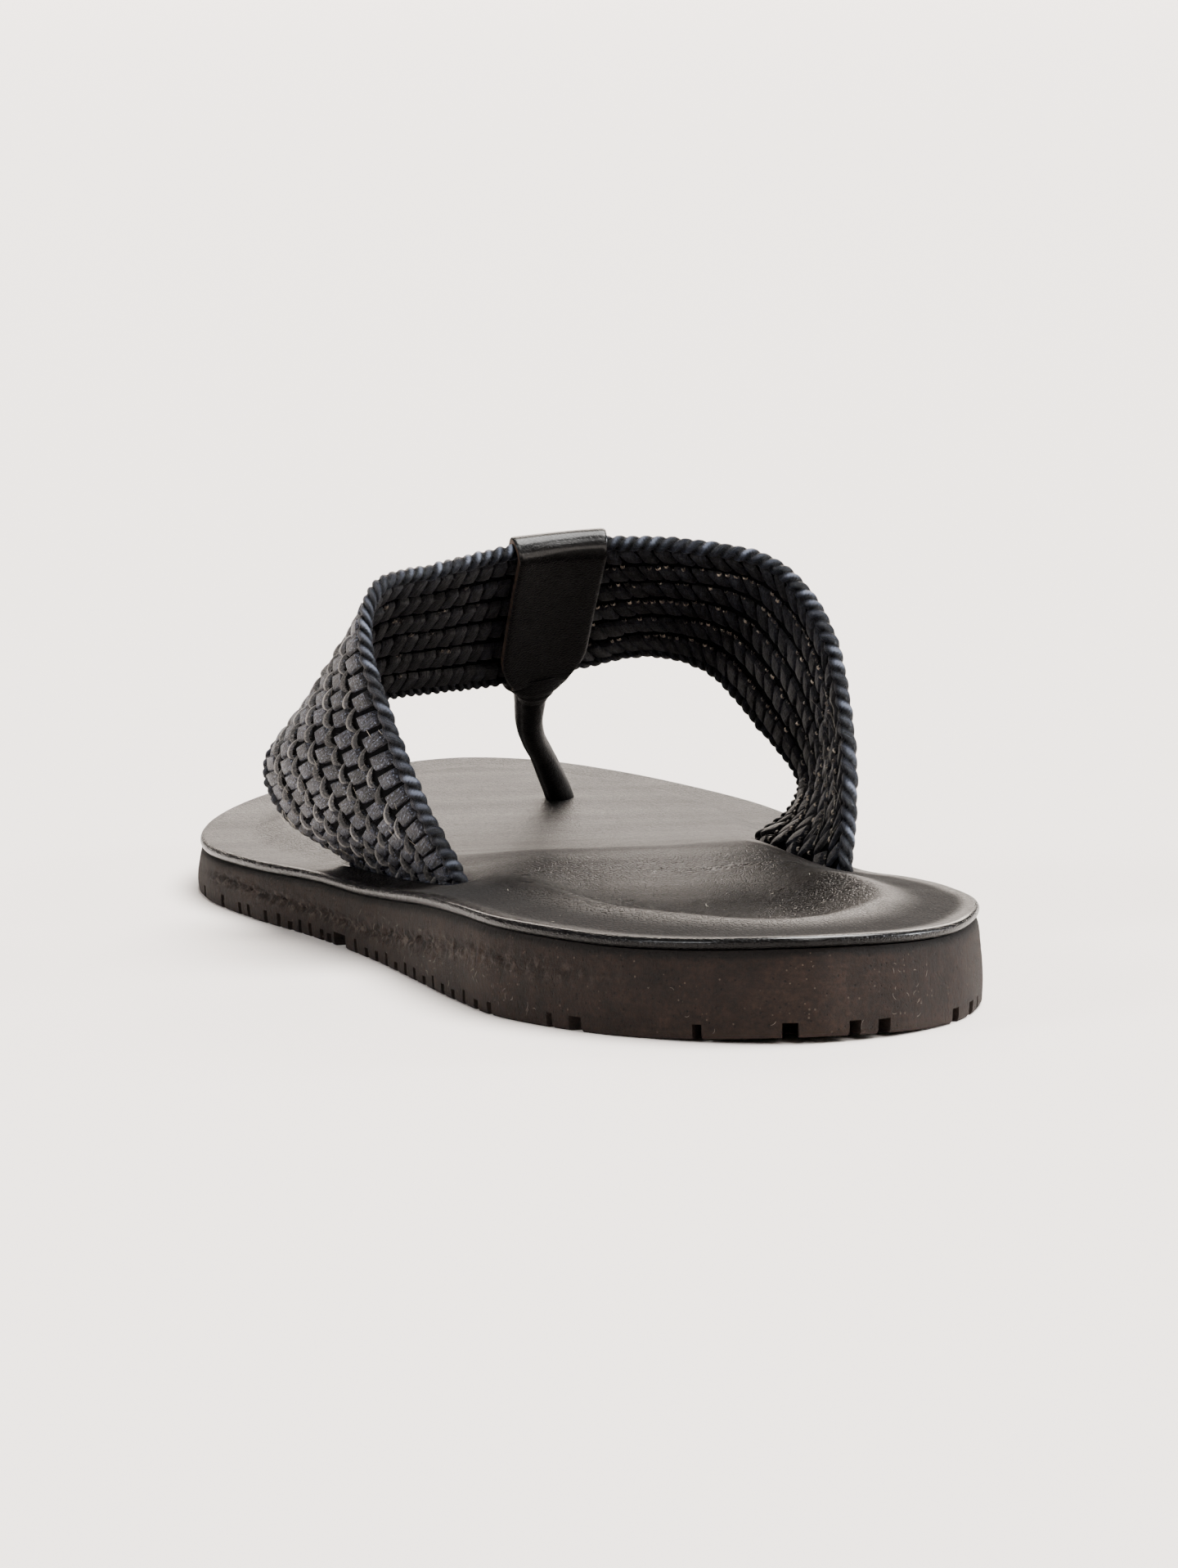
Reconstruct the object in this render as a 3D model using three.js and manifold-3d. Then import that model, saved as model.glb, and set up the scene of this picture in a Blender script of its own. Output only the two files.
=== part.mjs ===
// Woven flip-flop, left shoe. Millimetres, +Z up, +Y from heel to toe, +X to the medial side.
// The origin is on the floor, at the middle of the heel's flat spot. The forms are worked out from
// the rearmost point of the heel, and the whole shoe is then moved onto its origin.
import * as THREE from 'three';
import { mergeVertices } from 'three/addons/utils/BufferGeometryUtils.js';
import Module from 'manifold-3d';

// Driving dimensions
const SOLE_LENGTH = 280;
const BALL_WIDTH = 101;
const HEEL_WIDTH = 75;
const HEEL_THICKNESS = 12.8;
const FORE_THICKNESS = 6.9;
const TOE_SPRING = 4.5;
const HEEL_BEVEL = 1.0;
const HEEL_REST = 0.18;
const SIDE_FLARE = 0.8;
const SOLE_CHAMFER = 0.5;
const TREAD_DEPTH = 2.2;

const RIM_RISE = 1.9;
const RIM_BULGE = 0.5;
const FOOTBED_LEAST = 2.3;
const FLANGE_WIDTH = 8.5;
const PAD_SLOPE_WIDTH = 6.5;
const DISH_WIDTH = 19;
const ARCH_RISE = 1.2;

const STRAP_HEIGHT = 62;
const STRAP_WALL = 1.9;
const STRIP_RISE = 0.35;
const STRIP_COLUMNS = 9;
const STRIPS_ALONG = 90;
const EDGE_BEAD = 3.0;
const BEAD_TWIST = 0.15;

const WRAP_LEATHER = 1.2;
const WRAP_FROM = 0.468;
const WRAP_TO = 0.537;
const POST_DIAMETER = 4.2;

const FIT_GAP = 0.3;
const OPENING_GAP = FIT_GAP + STRIP_RISE;

// Subdivision
const OUTLINE_STEPS = 3;
const WRAP_STEPS = 4;
const ROUND_SIDES = 12;
const CUTTER_COLUMNS = 4;

// Colours
const RUBBER_BROWN = 0x3a2d26;
const LEATHER_BROWN = 0x1d1715;
const WEAVE_NAVY = 0x24262c;
const LEATHER_BLACK = 0x0d0c0c;

// The outline, heel to toe: along as a share of the length, reach to each side as a share of the
// width there, which blends from heel width to ball width.
const OUTLINE = [
  { along: 0.000, lateral: 0.000, medial: 0.000 },
  { along: 0.012, lateral: 0.145, medial: 0.155 },
  { along: 0.035, lateral: 0.252, medial: 0.268 },
  { along: 0.070, lateral: 0.363, medial: 0.369 },
  { along: 0.143, lateral: 0.488, medial: 0.472 },
  { along: 0.214, lateral: 0.524, medial: 0.483 },
  { along: 0.300, lateral: 0.544, medial: 0.472 },
  { along: 0.390, lateral: 0.535, medial: 0.444 },
  { along: 0.500, lateral: 0.509, medial: 0.418 },
  { along: 0.600, lateral: 0.518, medial: 0.434 },
  { along: 0.700, lateral: 0.537, medial: 0.463 },
  { along: 0.790, lateral: 0.498, medial: 0.451 },
  { along: 0.870, lateral: 0.401, medial: 0.386 },
  { along: 0.940, lateral: 0.252, medial: 0.287 },
  { along: 0.985, lateral: 0.085, medial: 0.172 },
  { along: 1.000, lateral: -0.045, medial: 0.045 },
];

// Outsole thickness from the forefoot's (0) to the heel's (1).
const STEP_DOWN = [
  { along: 0.00, share: 1.00 },
  { along: 0.25, share: 0.93 },
  { along: 0.30, share: 0.79 },
  { along: 0.36, share: 0.56 },
  { along: 0.43, share: 0.35 },
  { along: 0.50, share: 0.29 },
  { along: 0.60, share: 0.13 },
  { along: 0.70, share: 0.03 },
  { along: 0.85, share: 0.00 },
  { along: 1.00, share: -0.08 },
];

// The footbed's height over its rim, in rim rises: the ring inside the flange, and the middle.
const CONTOUR = [
  { along: 0.00, ring: 0.35, middle: -0.30 },
  { along: 0.10, ring: 0.45, middle: -0.55 },
  { along: 0.22, ring: 0.50, middle: -0.55 },
  { along: 0.30, ring: 0.80, middle: 0.20 },
  { along: 0.37, ring: 1.45, middle: 1.40 },
  { along: 0.41, ring: 1.75, middle: 1.80 },
  { along: 0.44, ring: 1.65, middle: 1.65 },
  { along: 0.50, ring: 1.00, middle: 0.95 },
  { along: 0.60, ring: 0.80, middle: 0.80 },
  { along: 0.75, ring: 1.10, middle: 1.25 },
  { along: 0.90, ring: 0.80, middle: 0.95 },
  { along: 1.00, ring: 0.30, middle: 0.30 },
];

// The strap from its lateral slot over the instep to its medial slot: the rear and the fore edge of
// each section, x as a share of ball width, y of sole length, z of strap height, and how far
// the section bows outwards between its edges, in strap walls.
const STRAP = [
  { rearX: -0.312, rearY: 0.339, rearZ: 0.182, foreX: -0.381, foreY: 0.530, foreZ: 0.144, bow: 0.0 },
  { rearX: -0.315, rearY: 0.341, rearZ: 0.223, foreX: -0.386, foreY: 0.532, foreZ: 0.181, bow: 0.2 },
  { rearX: -0.361, rearY: 0.364, rearZ: 0.410, foreX: -0.482, foreY: 0.549, foreZ: 0.298, bow: 0.8 },
  { rearX: -0.397, rearY: 0.386, rearZ: 0.605, foreX: -0.504, foreY: 0.561, foreZ: 0.418, bow: 1.1 },
  { rearX: -0.422, rearY: 0.409, rearZ: 0.808, foreX: -0.424, foreY: 0.577, foreZ: 0.532, bow: 0.8 },
  { rearX: -0.394, rearY: 0.428, rearZ: 0.926, foreX: -0.321, foreY: 0.594, foreZ: 0.568, bow: 0.3 },
  { rearX: -0.277, rearY: 0.462, rearZ: 0.958, foreX: -0.208, foreY: 0.614, foreZ: 0.577, bow: 0.2 },
  { rearX: -0.144, rearY: 0.491, rearZ: 0.986, foreX: -0.104, foreY: 0.630, foreZ: 0.581, bow: 0.2 },
  { rearX: 0.000, rearY: 0.496, rearZ: 1.000, foreX: 0.036, foreY: 0.632, foreZ: 0.619, bow: 0.2 },
  { rearX: 0.134, rearY: 0.479, rearZ: 0.992, foreX: 0.139, foreY: 0.612, foreZ: 0.655, bow: 0.4 },
  { rearX: 0.252, rearY: 0.452, rearZ: 0.945, foreX: 0.230, foreY: 0.593, foreZ: 0.615, bow: 0.6 },
  { rearX: 0.310, rearY: 0.416, rearZ: 0.790, foreX: 0.300, foreY: 0.573, foreZ: 0.477, bow: 0.6 },
  { rearX: 0.322, rearY: 0.386, rearZ: 0.540, foreX: 0.364, foreY: 0.561, foreZ: 0.320, bow: 0.2 },
  { rearX: 0.308, rearY: 0.361, rearZ: 0.347, foreX: 0.342, foreY: 0.564, foreZ: 0.240, bow: 0.2 },
  { rearX: 0.293, rearY: 0.347, rearZ: 0.226, foreX: 0.293, foreY: 0.561, foreZ: 0.185, bow: 0.0 },
  { rearX: 0.293, rearY: 0.347, rearZ: 0.182, foreX: 0.293, foreY: 0.561, foreZ: 0.144, bow: 0.0 },
];

// The toe post under the wrap: x as a share of ball width, y of sole length, z of strap height,
// and its size across in post diameters.
const POST = [
  { x: -0.033, y: 0.646, z: 0.565, size: 1.28 },
  { x: -0.026, y: 0.657, z: 0.531, size: 1.28 },
  { x: -0.014, y: 0.682, z: 0.455, size: 1.08 },
  { x: 0.005, y: 0.704, z: 0.398, size: 0.98 },
  { x: 0.033, y: 0.729, z: 0.342, size: 0.96 },
  { x: 0.062, y: 0.755, z: 0.277, size: 1.06 },
  { x: 0.091, y: 0.783, z: 0.211, size: 1.12 },
  { x: 0.103, y: 0.795, z: 0.177, size: 1.12 },
  { x: 0.107, y: 0.799, z: 0.140, size: 1.12 },
];

// The collar that gathers the wrap into the post: how far past the strap's fore edge, and its size
// across and through, in post diameters.
const COLLAR = [
  { past: -0.70, across: 3.20, through: 1.25 },
  { past: 0.15, across: 3.15, through: 1.40 },
  { past: 0.55, across: 2.70, through: 1.42 },
  { past: 1.00, across: 2.05, through: 1.40 },
  { past: 1.50, across: 1.62, through: 1.42 },
  { past: 1.95, across: 1.55, through: 1.48 },
];

// Grooves across the tread: along as a share of the length, and their width.
const GROOVES = [
  { along: 0.071, width: 2.4 },
  { along: 0.090, width: 1.2 },
  { along: 0.449, width: 6.0 },
  { along: 0.501, width: 1.4 },
  { along: 0.550, width: 1.4 },
  { along: 0.598, width: 1.4 },
  { along: 0.648, width: 1.6 },
  { along: 0.697, width: 1.6 },
  { along: 0.747, width: 1.6 },
  { along: 0.797, width: 1.6 },
  { along: 0.847, width: 1.6 },
  { along: 0.897, width: 1.6 },
  { along: 0.943, width: 1.6 },
];
const GROOVE_CHEVRON = 4;

// Notches at the back of the heel: across as a share of heel width, and their width.
const HEEL_NOTCHES = [
  { across: -0.195, width: 1.5 },
  { across: -0.037, width: 2.4 },
  { across: 0.094, width: 2.0 },
  { across: 0.153, width: 2.3 },
  { across: 0.337, width: 2.6 },
];
const HEEL_NOTCH_REACH = 9;

// Fine ribs of the side between heel and ball
const RIB_FROM = 0.155;
const RIB_TO = 0.425;
const RIB_COUNT = 14;
const RIB_WIDTH = 1.0;
const RIB_INSET = 2.6;
const RIB_HEIGHT = 1.8;

// Helpers for numbers
const clamp = (value, low, high) => Math.min(high, Math.max(low, value));

function smooth(from, to, value) {
  const share = clamp((value - from) / (to - from), 0, 1);
  return share * share * (3 - 2 * share);
}

function lookUp(table, column, along) {
  const after = table.findIndex((row) => row.along >= along);
  if (after <= 0) return table[after < 0 ? table.length - 1 : 0][column];
  const low = table[after - 1];
  const high = table[after];
  return low[column] + (high[column] - low[column]) * smooth(low.along, high.along, along);
}

// Helpers for solids
const wasm = await Module();
wasm.setup();

function toManifold(geometry) {
  const bare = geometry.clone();
  bare.deleteAttribute('normal');
  bare.deleteAttribute('uv');
  const merged = mergeVertices(bare, 1e-5);
  return new wasm.Manifold(new wasm.Mesh({
    numProp: 3,
    vertProperties: new Float32Array(merged.attributes.position.array),
    triVerts: new Uint32Array(merged.index.array),
  }));
}

function toGeometry(solid) {
  const mesh = solid.getMesh();
  const geometry = new THREE.BufferGeometry();
  geometry.setAttribute('position', new THREE.BufferAttribute(new Float32Array(mesh.vertProperties), 3));
  geometry.setIndex(new THREE.BufferAttribute(new Uint32Array(mesh.triVerts), 1));
  geometry.computeVertexNormals();
  return geometry;
}

function fromTriangles(points, triangles) {
  const geometry = new THREE.BufferGeometry();
  geometry.setAttribute('position', new THREE.Float32BufferAttribute(points.flatMap((p) => [p.x, p.y, p.z]), 3));
  geometry.setIndex(triangles);
  return geometry;
}

// Joins rings of equal length into a skin. Each end is closed by a zip of faces between the points
// whose indexes add up to fold, so that a flat or bent ring closes as well as a round one.
function skin(rings, fold = 0) {
  const size = rings[0].length;
  const points = rings.flat();
  const triangles = [];
  for (let ring = 0; ring < rings.length - 1; ring += 1) {
    for (let side = 0; side < size; side += 1) {
      const a = ring * size + side;
      const b = ring * size + ((side + 1) % size);
      const c = (ring + 1) * size + ((side + 1) % size);
      const d = (ring + 1) * size + side;
      triangles.push(a, b, c, a, c, d);
    }
  }
  const mate = (i) => (((fold - i) % size) + size) % size;
  const from = Math.ceil(fold / 2);
  const zips = fold % 2 === 0 ? size / 2 : size / 2 - 1;
  [0, (rings.length - 1) * size].forEach((start) => {
    const add = (a, b, c) => triangles.push(...(start === 0 ? [a, c, b] : [a, b, c]).map((i) => start + i));
    for (let zip = 0; zip < zips; zip += 1) {
      const here = (from + zip) % size;
      const next = (from + zip + 1) % size;
      if (next !== mate(next)) add(here, next, mate(next));
      if (here !== mate(here)) add(here, mate(next), mate(here));
    }
  });
  return facingOut(fromTriangles(points, triangles));
}

function facingOut(geometry) {
  const position = geometry.attributes.position;
  const index = geometry.index.array;
  const corners = [new THREE.Vector3(), new THREE.Vector3(), new THREE.Vector3()];
  let volume = 0;
  for (let at = 0; at < index.length; at += 3) {
    corners.forEach((corner, i) => corner.fromBufferAttribute(position, index[at + i]));
    volume += corners[0].dot(corners[1].clone().cross(corners[2]));
  }
  if (volume < 0) {
    for (let at = 0; at < index.length; at += 3) {
      [index[at + 1], index[at + 2]] = [index[at + 2], index[at + 1]];
    }
  }
  return geometry;
}

// Sole forms
function widthAt(along) {
  return HEEL_WIDTH + (BALL_WIDTH - HEEL_WIDTH) * smooth(0.30, 0.65, along);
}

function outlineCurve() {
  const side = (column, sign) => OUTLINE.map((row) => (
    new THREE.Vector3(sign * row[column] * widthAt(row.along), row.along * SOLE_LENGTH, 0)));
  const lateral = side('lateral', -1);
  const medial = side('medial', 1).slice(1, -1).reverse();
  return new THREE.CatmullRomCurve3([...lateral, ...medial], true, 'centripetal');
}

// The outline from the heel's tip along the lateral side to the toe and back along the medial side,
// with, for each point, the outward direction and the place on the spine that it faces.
const SPINE_FROM = 0.12;
const SPINE_TO = 0.87;
const SIDE_POINTS = (OUTLINE.length - 1) * OUTLINE_STEPS;
const mateOf = (i) => (2 * SIDE_POINTS - i) % (2 * SIDE_POINTS);

function outlinePoints() {
  const curve = outlineCurve();
  const count = 2 * SIDE_POINTS;
  const points = Array.from({ length: count }, (_, step) => curve.getPoint(step / count));
  return points.map((point, i) => {
    const mate = points[mateOf(i)];
    const ahead = points[(i + 1) % count];
    const behind = points[(i + count - 1) % count];
    const out = new THREE.Vector2(behind.y - ahead.y, ahead.x - behind.x).normalize();
    const y = clamp((point.y + mate.y) / 2, SPINE_FROM * SOLE_LENGTH, SPINE_TO * SOLE_LENGTH);
    return { point, out, spineY: y, middle: (point.x + mate.x) / 2 };
  });
}

const RING = outlinePoints();
const LATERAL_SIDE = RING.slice(0, SIDE_POINTS + 1);
const MEDIAL_SIDE = LATERAL_SIDE.map((_, i) => RING[mateOf(i)]);

// A column of one side's outline at a place along it.
function sideAt(side, y, column) {
  const after = Math.max(1, side.findIndex((place) => place.point.y >= y));
  const share = (y - side[after - 1].point.y) / (side[after].point.y - side[after - 1].point.y);
  return column(side[after - 1]) + (column(side[after]) - column(side[after - 1])) * share;
}

RING.forEach((place) => {
  const middle = sideAt(LATERAL_SIDE, place.spineY, (near) => near.middle);
  place.spine = new THREE.Vector2(middle, place.spineY);
  place.reach = Math.hypot(place.point.x - place.spine.x, place.point.y - place.spine.y);
});

function soleBottom(y) {
  const along = y / SOLE_LENGTH;
  const toe = clamp((along - 0.7) / 0.3, 0, 1);
  const heel = clamp(1 - along / 0.07, 0, 1);
  return TOE_SPRING * toe * toe + HEEL_BEVEL * heel * heel;
}

function seamHeight(y) {
  const share = lookUp(STEP_DOWN, 'share', y / SOLE_LENGTH);
  return soleBottom(y) + FORE_THICKNESS + (HEEL_THICKNESS - FORE_THICKNESS) * share;
}

function dishDrop(y, inset) {
  const top = RIM_RISE * (1 + lookUp(CONTOUR, 'middle', y / SOLE_LENGTH));
  return Math.max(0, FOOTBED_LEAST - top) * smooth(FLANGE_WIDTH, DISH_WIDTH, inset);
}

function beddingHeight(y, inset) {
  return seamHeight(y) - dishDrop(y, inset);
}

function footbedTop(x, y, inset) {
  const along = y / SOLE_LENGTH;
  const ring = RIM_RISE * lookUp(CONTOUR, 'ring', along);
  const middle = RIM_RISE * lookUp(CONTOUR, 'middle', along);
  const onPad = smooth(FLANGE_WIDTH - 1, FLANGE_WIDTH + PAD_SLOPE_WIDTH, inset);
  const inDish = smooth(FLANGE_WIDTH + PAD_SLOPE_WIDTH, DISH_WIDTH, inset);
  const arch = ARCH_RISE * smooth(5, 25, x) * (smooth(0.28, 0.42, along) - smooth(0.46, 0.62, along));
  return seamHeight(y) + RIM_RISE + onPad * (ring + (middle - ring) * inDish + arch);
}

// One ring of a sole layer. inset is measured from the outline inwards, share carries it on towards
// the spine, and height gives z.
function layerRing(inset, share, height) {
  return RING.map((place) => {
    const start = Math.min(inset, place.reach);
    const distance = start + (place.reach - start) * share;
    const inward = clamp(distance / place.reach, 0, 1);
    const out = Math.max(0, -inset);
    const x = place.point.x + (place.spine.x - place.point.x) * inward + place.out.x * out;
    const y = place.point.y + (place.spine.y - place.point.y) * inward + place.out.y * out;
    return new THREE.Vector3(x, y, height(x, y, Math.max(distance, 0)));
  });
}

const INNER_SHARE = 0.92;

function outsoleSolid() {
  const bottom = (x, y) => soleBottom(y);
  const side = (share, lift) => (x, y) => soleBottom(y) + (seamHeight(y) - soleBottom(y)) * share + lift;
  const bedding = (x, y, inset) => beddingHeight(y, inset);
  return skin([
    layerRing(DISH_WIDTH, INNER_SHARE, bedding),
    layerRing(DISH_WIDTH, 0, bedding),
    layerRing(FLANGE_WIDTH, 0, bedding),
    layerRing(SOLE_CHAMFER, 0, side(1, 0)),
    layerRing(0, 0, side(1, -SOLE_CHAMFER)),
    layerRing(-SIDE_FLARE * 0.75, 0, side(0.5, 0)),
    layerRing(-SIDE_FLARE, 0, side(0, SOLE_CHAMFER)),
    layerRing(-(SIDE_FLARE - SOLE_CHAMFER), 0, bottom),
    layerRing(DISH_WIDTH, 0, bottom),
    layerRing(DISH_WIDTH, INNER_SHARE, bottom),
  ]);
}

function footbedSolid() {
  const under = (x, y, inset) => beddingHeight(y, inset) + FIT_GAP;
  const roll = (rise) => (x, y) => seamHeight(y) + rise;
  return skin([
    layerRing(DISH_WIDTH, INNER_SHARE, under),
    layerRing(DISH_WIDTH, 0, under),
    layerRing(FLANGE_WIDTH, 0, under),
    layerRing(0.4, 0, roll(FIT_GAP)),
    layerRing(-RIM_BULGE * 0.6, 0, roll(FIT_GAP + 0.25)),
    layerRing(-RIM_BULGE, 0, roll(RIM_RISE * 0.55)),
    layerRing(-RIM_BULGE * 0.3, 0, roll(RIM_RISE * 0.88)),
    layerRing(1.0, 0, roll(RIM_RISE)),
    layerRing(FLANGE_WIDTH - 1, 0, footbedTop),
    layerRing(FLANGE_WIDTH + PAD_SLOPE_WIDTH * 0.35, 0, footbedTop),
    layerRing(FLANGE_WIDTH + PAD_SLOPE_WIDTH * 0.7, 0, footbedTop),
    layerRing(FLANGE_WIDTH + PAD_SLOPE_WIDTH, 0, footbedTop),
    layerRing(DISH_WIDTH, 0, footbedTop),
    layerRing(DISH_WIDTH, 0.5, footbedTop),
    layerRing(DISH_WIDTH, INNER_SHARE, footbedTop),
  ]);
}

// Tread
function grooveCutter(groove) {
  const y = groove.along * SOLE_LENGTH;
  const half = groove.width / 2;
  const reach = BALL_WIDTH * 0.7;
  const shape = new THREE.Shape([
    new THREE.Vector2(-reach, y - half),
    new THREE.Vector2(0, y + GROOVE_CHEVRON - half),
    new THREE.Vector2(reach, y - half),
    new THREE.Vector2(reach, y + half),
    new THREE.Vector2(0, y + GROOVE_CHEVRON + half),
    new THREE.Vector2(-reach, y + half),
  ]);
  const below = HEEL_THICKNESS;
  const geometry = new THREE.ExtrudeGeometry(shape, { depth: below + TREAD_DEPTH, bevelEnabled: false });
  geometry.translate(0, 0, soleBottom(y + GROOVE_CHEVRON / 2) - below);
  return geometry;
}

function boxAt(width, length, height, x, y, z, turn = 0) {
  const geometry = new THREE.BoxGeometry(width, length, height);
  geometry.rotateZ(turn);
  geometry.translate(x, y, z);
  return geometry;
}

function heelNotchCutter(notch) {
  const x = notch.across * HEEL_WIDTH;
  const near = RING.filter((place) => place.point.y < SPINE_FROM * SOLE_LENGTH);
  const edge = near.reduce((best, place) => (Math.abs(place.point.x - x) < Math.abs(best.point.x - x) ? place : best));
  const turn = Math.atan2(edge.out.y, edge.out.x) + Math.PI / 2;
  const lift = soleBottom(edge.point.y);
  return boxAt(notch.width, 2 * HEEL_NOTCH_REACH, TREAD_DEPTH * 2, x, edge.point.y, lift, turn);
}

function ribCutters() {
  return [LATERAL_SIDE, MEDIAL_SIDE].flatMap((side) => Array.from({ length: RIB_COUNT }, (_, rib) => {
    const y = SOLE_LENGTH * (RIB_FROM + (RIB_TO - RIB_FROM) * (rib / (RIB_COUNT - 1)));
    return boxAt(2 * RIB_INSET, RIB_WIDTH, 2 * RIB_HEIGHT, sideAt(side, y, (near) => near.point.x), y, 0);
  }));
}

// Strap forms
function strapEdge(end) {
  return new THREE.CatmullRomCurve3(STRAP.map((row) => new THREE.Vector3(
    row[`${end}X`] * BALL_WIDTH,
    row[`${end}Y`] * SOLE_LENGTH,
    row[`${end}Z`] * STRAP_HEIGHT,
  )), false, 'centripetal');
}

const REAR_EDGE = strapEdge('rear');
const FORE_EDGE = strapEdge('fore');
const INSTEP_MIDDLE = new THREE.Vector3(0, 0.5 * SOLE_LENGTH, 0.3 * STRAP_HEIGHT);

function strapBow(along) {
  const place = clamp(along, 0, 1) * (STRAP.length - 1);
  const row = Math.min(Math.floor(place), STRAP.length - 2);
  return STRAP_WALL * (STRAP[row].bow + (STRAP[row + 1].bow - STRAP[row].bow) * (place - row));
}

// The frame of the strap at a share of its length: rear and fore edge, and the outward direction.
function strapFrame(along) {
  const rear = REAR_EDGE.getPoint(along);
  const fore = FORE_EDGE.getPoint(along);
  const before = Math.max(along - 0.004, 0);
  const after = Math.min(along + 0.004, 1);
  const ahead = REAR_EDGE.getPoint(after).add(FORE_EDGE.getPoint(after));
  ahead.sub(REAR_EDGE.getPoint(before)).sub(FORE_EDGE.getPoint(before)).normalize();
  const across = fore.clone().sub(rear).normalize();
  const out = across.clone().cross(ahead).normalize();
  const middle = rear.clone().add(fore).multiplyScalar(0.5);
  if (out.dot(middle.clone().sub(INSTEP_MIDDLE)) < 0) out.negate();
  return { rear, fore, across, ahead, out, middle, bow: strapBow(along) };
}

function strapPoint(frame, across, offset) {
  const bow = 4 * frame.bow * across * (1 - across);
  return frame.rear.clone().lerp(frame.fore, across).addScaledVector(frame.out, bow + offset);
}

// One closed section of the strap. grow widens it evenly, for slots and for the wrap's opening, and
// twist is which way the strips of this section cross.
function strapSection(along, grow, twist, columns) {
  const frame = strapFrame(along);
  const half = STRAP_WALL / 2 + grow;
  const bead = EDGE_BEAD / 2 + grow + (twist === 0 ? 0 : BEAD_TWIST * twist);
  const rise = (column) => (column % 2 === 0 ? STRIP_RISE : -STRIP_RISE) * twist;
  const width = frame.rear.distanceTo(frame.fore);
  const margin = EDGE_BEAD / 2 / width;
  const at = (column) => margin * 1.6 + (1 - margin * 3.2) * (column / columns);
  const section = [];
  for (let column = 0; column <= columns; column += 1) {
    section.push(strapPoint(frame, at(column), half + rise(column)));
  }
  const round = (across, from) => [0, 1, 2, 3].map((step) => {
    const angle = from - (step / 3) * Math.PI;
    const sideways = Math.cos(angle) * bead;
    return strapPoint(frame, across, Math.sin(angle) * bead).addScaledVector(frame.across, sideways);
  });
  section.push(...round(1 - margin, Math.PI / 2));
  for (let column = columns; column >= 0; column -= 1) {
    section.push(strapPoint(frame, at(column), -half + rise(column)));
  }
  section.push(...round(margin, -Math.PI / 2));
  return section;
}

// Which points of a section face each other, as skin's fold.
const strapFold = (columns) => 2 * columns + 5;

function strapLength() {
  const count = 400;
  const lengths = [0];
  for (let step = 1; step <= count; step += 1) {
    const here = strapFrame(step / count).middle;
    lengths.push(lengths[step - 1] + here.distanceTo(strapFrame((step - 1) / count).middle));
  }
  return lengths;
}

// Shares of the strap's curve that lie evenly along its middle line.
function evenShares(count) {
  const lengths = strapLength();
  const total = lengths[lengths.length - 1];
  return Array.from({ length: count + 1 }, (_, step) => {
    const wanted = (total * step) / count;
    const after = Math.max(1, lengths.findIndex((length) => length >= wanted - 1e-9));
    const share = (wanted - lengths[after - 1]) / (lengths[after] - lengths[after - 1]);
    return (after - 1 + share) / (lengths.length - 1);
  });
}

function wovenStrapSolid() {
  const rings = evenShares(STRIPS_ALONG).map((along, i) => (
    strapSection(along, 0, i % 2 === 0 ? 1 : -1, STRIP_COLUMNS)));
  return skin(rings, strapFold(STRIP_COLUMNS));
}

// A plain, widened stretch of the strap between two shares, carried on past its lower end.
function strapCutter(from, to, grow, drop) {
  const steps = 8;
  const rings = Array.from({ length: steps + 1 }, (_, step) => (
    strapSection(from + (to - from) * (step / steps), grow, 0, CUTTER_COLUMNS)));
  if (drop > 0) {
    const lowest = (ring) => ring.map((point) => point.clone().setZ(point.z - drop));
    if (from === 0) rings.unshift(lowest(rings[0]));
    if (to === 1) rings.push(lowest(rings[rings.length - 1]));
  }
  return skin(rings, strapFold(CUTTER_COLUMNS));
}

// Wrap and toe post
function wrapSleeve(grow) {
  const rings = Array.from({ length: WRAP_STEPS + 1 }, (_, step) => (
    strapSection(WRAP_FROM + (WRAP_TO - WRAP_FROM) * (step / WRAP_STEPS), grow, 0, CUTTER_COLUMNS)));
  return skin(rings, strapFold(CUTTER_COLUMNS));
}

function ellipseRing(centre, across, through, halfAcross, halfThrough) {
  return Array.from({ length: ROUND_SIDES }, (_, side) => {
    const angle = (2 * Math.PI * side) / ROUND_SIDES;
    return centre.clone()
      .addScaledVector(across, Math.cos(angle) * halfAcross)
      .addScaledVector(through, Math.sin(angle) * halfThrough);
  });
}

function collarSolid() {
  const frame = strapFrame((WRAP_FROM + WRAP_TO) / 2);
  const post = POST.map((row) => new THREE.Vector3(row.x * BALL_WIDTH, row.y * SOLE_LENGTH, row.z * STRAP_HEIGHT));
  const down = post[1].clone().sub(frame.fore).normalize();
  const across = frame.ahead.clone().addScaledVector(down, -frame.ahead.dot(down)).normalize();
  const through = across.clone().cross(down).normalize();
  const rings = COLLAR.map((row) => ellipseRing(
    frame.fore.clone().addScaledVector(down, row.past * POST_DIAMETER),
    across,
    through,
    (row.across * POST_DIAMETER) / 2,
    (row.through * POST_DIAMETER) / 2,
  ));
  return skin(rings);
}

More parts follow.
